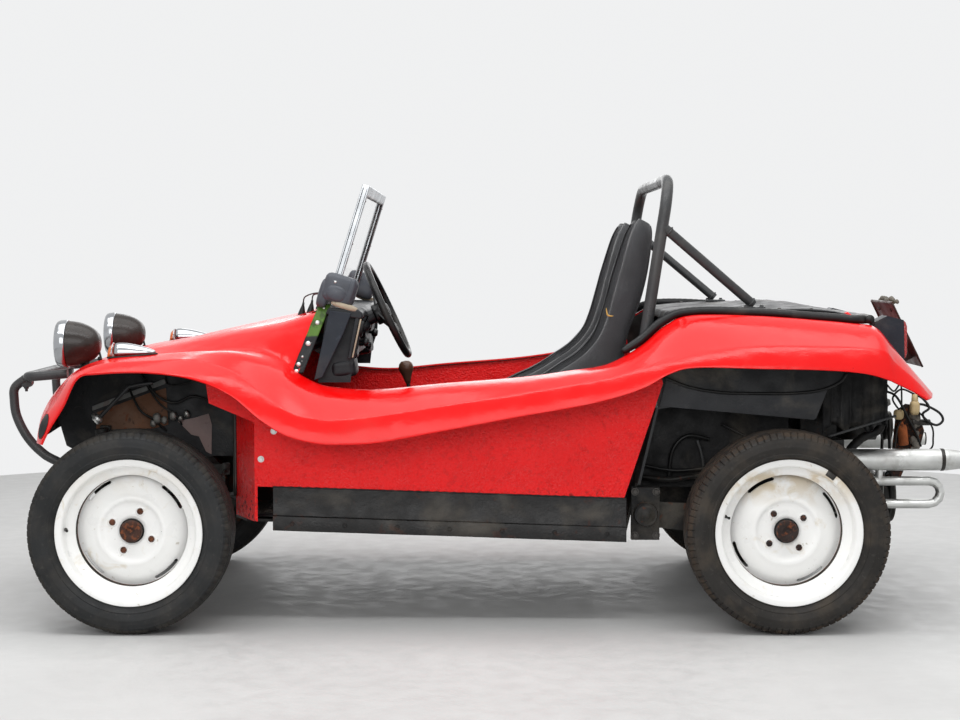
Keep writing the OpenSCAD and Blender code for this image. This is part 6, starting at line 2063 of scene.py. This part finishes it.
def make_exhaust():
    soften("exhaust", "silver", 0.0025)
    bands = []
    for s in (LEFT, RIGHT):
        for x in (-0.232, -0.552):
            bands.append(lathe("band",
                               [(0.0352, 0.006), (0.0362, 0.004), (0.0362, -0.004), (0.0352, -0.006)],
                               Vector((R + x, s * 0.350, AXLE_Z + 0.184)), (1, 0, 0), 48))
        bands.append(lathe("lip",
                           [(0.0222, 0.004), (0.0235, 0.002), (0.0235, -0.003), (0.0195, -0.003),
                            (0.0190, 0.012)],
                           Vector((R - 0.664, s * 0.350, AXLE_Z + 0.184)), (1, 0, 0), 40))
    place(join("exhaust_bands", bands), slot="exhaust_silver", mat="steel")


def make_running_gear():
    """Materials and small fixings of the axles, gearbox, springing and steering."""
    soften("gearbox", "grime_and_shade", 0.006)
    soften("axle_tubes", "drum", 0.002)
    soften("rear_torsion", "grime_and_shade", 0.013)
    soften("spring_plates", "chassis", 0.0008)
    soften("front_beam", "chassis", 0.0015)
    soften("steering_box", "engine", 0.003)
    soften("fuel_tank", "tank", 0.010)
    for name in ("drop_arm", "tie_rod_left", "tie_rod_right", "knuckle_left", "knuckle_right"):
        soften(name, "rod" if name != "drop_arm" else "engine", 0.0015)
    bolts, dark = [], []
    for s in (LEFT, RIGHT):
        spot = Vector((R + 0.421, s * 0.5456, AXLE_Z + 0.035))
        for dx, dz in ((-0.033, -0.067), (0.033, -0.067), (-0.033, 0.070), (0.033, 0.070)):
            bolts.append(bolt("bolt", spot + Vector((dx, 0, dz)), (0, s, 0), 0.017, 0.008))
        dark.append(lathe("boss",
                          [(0, 0.0265), (0.014, 0.0265), (0.017, 0.022), (0.029, 0.0215), (0.0335, 0.017),
                           (0.0365, 0.006), (0.039, 0)],
                          spot, (0, s, 0), 48))
        for k in range(4):
            a = math.radians(45 + 90 * k)
            bolts.append(bolt("bolt",
                              Vector((R + 0.088 * math.cos(a), s * 0.603, AXLE_Z + 0.088 * math.sin(a))),
                              (0, -s, 0), 0.015, 0.010))
        for h in (-40, 110):
            for k in range(4):
                a = math.radians(45 + 90 * k)
                bolts.append(bolt("bolt", front(130 + 20 * math.cos(a), s * 483, h + 20 * math.sin(a)),
                                  (0, s, 0), 0.010, 0.006))
        coil_low = Vector((F + 0.1125, s * 0.465, AXLE_Z + 0.035))
        coil_high = Vector((F + 0.1278, s * 0.465, AXLE_Z + 0.235))
        along = (coil_high - coil_low).normalized()
        dust = [(0.0245, 0.0), (0.0245, 0.12), (0.0225, 0.125), (0.0225, 0.2), (0.0, 0.2)]
        dark.append(lathe("dust_tube", dust, coil_low, along, 36))
    place(join("running_gear_bolts", bolts), slot="chassis_black", mat="steel")
    place(join("running_gear_covers", dark), slot="engine_black", mat="engine")
    brake = []
    for s in (LEFT, RIGHT):
        brake.append(tube("brake_pipe",
                          spline([front(96, s * 300, 145), front(92, s * 400, 150), front(60, s * 440, 168),
                                  front(30, s * 430, 200)], 7),
                          0.0035, 8))
        brake.append(tube("brake_pipe",
                          spline([rear(400, s * 130, 84), rear(260, s * 150, 90), rear(120, s * 250, 62),
                                  rear(60, s * 420, 52), rear(46, s * 560, 50), rear(40, s * 596, 62)], 7),
                          0.003, 8))
    place(join("brake_pipes", brake), slot="chassis_black", mat="rod")
    place(lathe("tank_cap", [(0, 0.020), (0.028, 0.018), (0.034, 0.012), (0.036, 0.004), (0.036, 0.0),
                             (0.024, 0.0), (0.024, -0.02)],
                front(-130, 0, 478), (0, 0, 1), 36), slot="tank_brown", mat="steel")
    straps = []
    for y in (-0.12, 0.12):
        outline = [(-292, 300), (-292, 480), (-18, 480), (32, 431), (30, 428), (-19, 477), (-289, 477),
                   (-289, 300)]
        straps.append(prism("strap", side_outline(F, outline), y - 0.012,
                            y + 0.012))
    place(join("tank_straps", straps), slot="tank_brown", mat="dark_rust")


def make_front_bay():
    """Dark inner walls of the front arches, open towards the tank, with the wires and rods across them."""
    for s, name in SIDES:
        sheets = (("wall", ((-277, 199), (-277, 508), (36, 500), (180, 478), (282, 420), (290, 330),
                            (262, 232), (200, 199)),
                   0.3730, 0.0025, "liner"),
                  ("bay_plate", ((162, 340), (-10, 404), (-60, 418), (-66, 300), (-20, 288), (166, 284)),
                   0.3765, 0.0015, "bay_rust"),
                  ("bay_beam", ((176, 345), (-58, 431), (-62, 441), (-54, 447), (176, 360)), 0.3790, 0.0060,
                   "rod"),
                  ("bay_sheet", ((-96, 312), (-150, 322), (-196, 336), (-206, 300), (-204, 204),
                                 (-186, 214), (-164, 262), (-140, 268)),
                   0.3765, 0.0020, "bay_grey"))
        for piece, outline, y, thick, mat in sheets:
            made = prism(piece, side_outline(F, outline), s * y,
                         s * (y + thick), 0.0004)
            title = "inner_wing" if piece == "wall" else piece
            place(made, slot="moulding_black", mat=mat).name = "%s_%s" % (title, name)
        cable("bay_rod_" + name,
              [front(-30, s * 452, 440), front(40, s * 452, 428), front(60, s * 451, 412),
               front(150, s * 450, 318)],
              0.0065, "tube", "chassis_black", 8)
        nozzle = [(0, 0.022), (0.006, 0.022), (0.008, 0.012), (0.0125, 0.010), (0.0125, -0.012),
                  (0.008, -0.016), (0, -0.016)]
        place(lathe("bay_nozzle_" + name, nozzle, front(147, s * 452, 325), (0.5, 0.2 * s, 0.6), 20),
              slot="cast_alloy", mat="silver")
        bright = [pillow("fitting", front(x, s * 392, h), (r, r * 1.3, r), *UPRIGHT, 2.6, 6, 10)
                  for x, h, r in ((-32, 322, 0.014), (-56, 316, 0.010), (-84, 330, 0.012),
                                  (-108, 322, 0.008), (-128, 336, 0.010), (-20, 306, 0.010))]
        place(join("bay_fittings_" + name, bright), slot="cast_alloy", mat="alloy")
        for k, points in enumerate((((20, 380, 470), (-30, 400, 400), (-90, 402, 372), (-150, 384, 392),
                                     (-240, 378, 360)),
                                    ((10, 379, 440), (-40, 398, 372), (-95, 396, 330), (-110, 380, 300)),
                                    ((60, 378, 420), (20, 404, 350), (-20, 400, 320), (-60, 378, 280)),
                                    ((-60, 378, 480), (-70, 392, 430), (-140, 392, 440), (-190, 378, 478)))):
            cable("bay_wire_%s_%d" % (name, k), [front(x, s * y, h) for x, y, h in points],
                  (0.0045, 0.003, 0.0038, 0.0028)[k], "wire")


def make_nose_openings():
    """The dark oval recess low in each side of the nose: a flat black oval on the shell, its black painted
    shade.
    """
    shell = bpy.data.objects["body_shell"]
    tree = BVHTree.FromPolygons([v.co for v in shell.data.vertices],
                                [f.vertices[:] for f in shell.data.polygons])
    for s, name in SIDES:
        rings = []
        for ring in range(9):
            row = []
            for k in range(36):
                a = 2 * math.pi * k / 36
                reach = ring / 8
                x = F + 0.2565 + 0.0155 * reach * math.cos(a) - 0.009 * reach * math.sin(a)
                z = AXLE_Z + 0.3245 + 0.037 * reach * math.sin(a)
                spot = tree.ray_cast(Vector((x, s * 1.2, z)), Vector((0, -s, 0)))[0]
                if spot is None:
                    return
                row.append(spot + Vector((0.0012, s * 0.0010, 0)))
            rings.append(row)
        oval = grid_mesh("oval", rings, closed=True)
        edit(oval, lambda bm: bmesh.ops.remove_doubles(bm, verts=bm.verts, dist=1e-5))
        # The oval lies flat on the shell; its black is painted shade for the recess.
        place(oval, slot="gelcoat_red", mat="grime_and_shade").name = "nose_opening_" + name


make_nose_openings()
make_rear_cover()
make_arch_sheets()
make_tail()
make_engine()
make_exhaust()
make_running_gear()
make_front_bay()


bpy.context.view_layer.update()
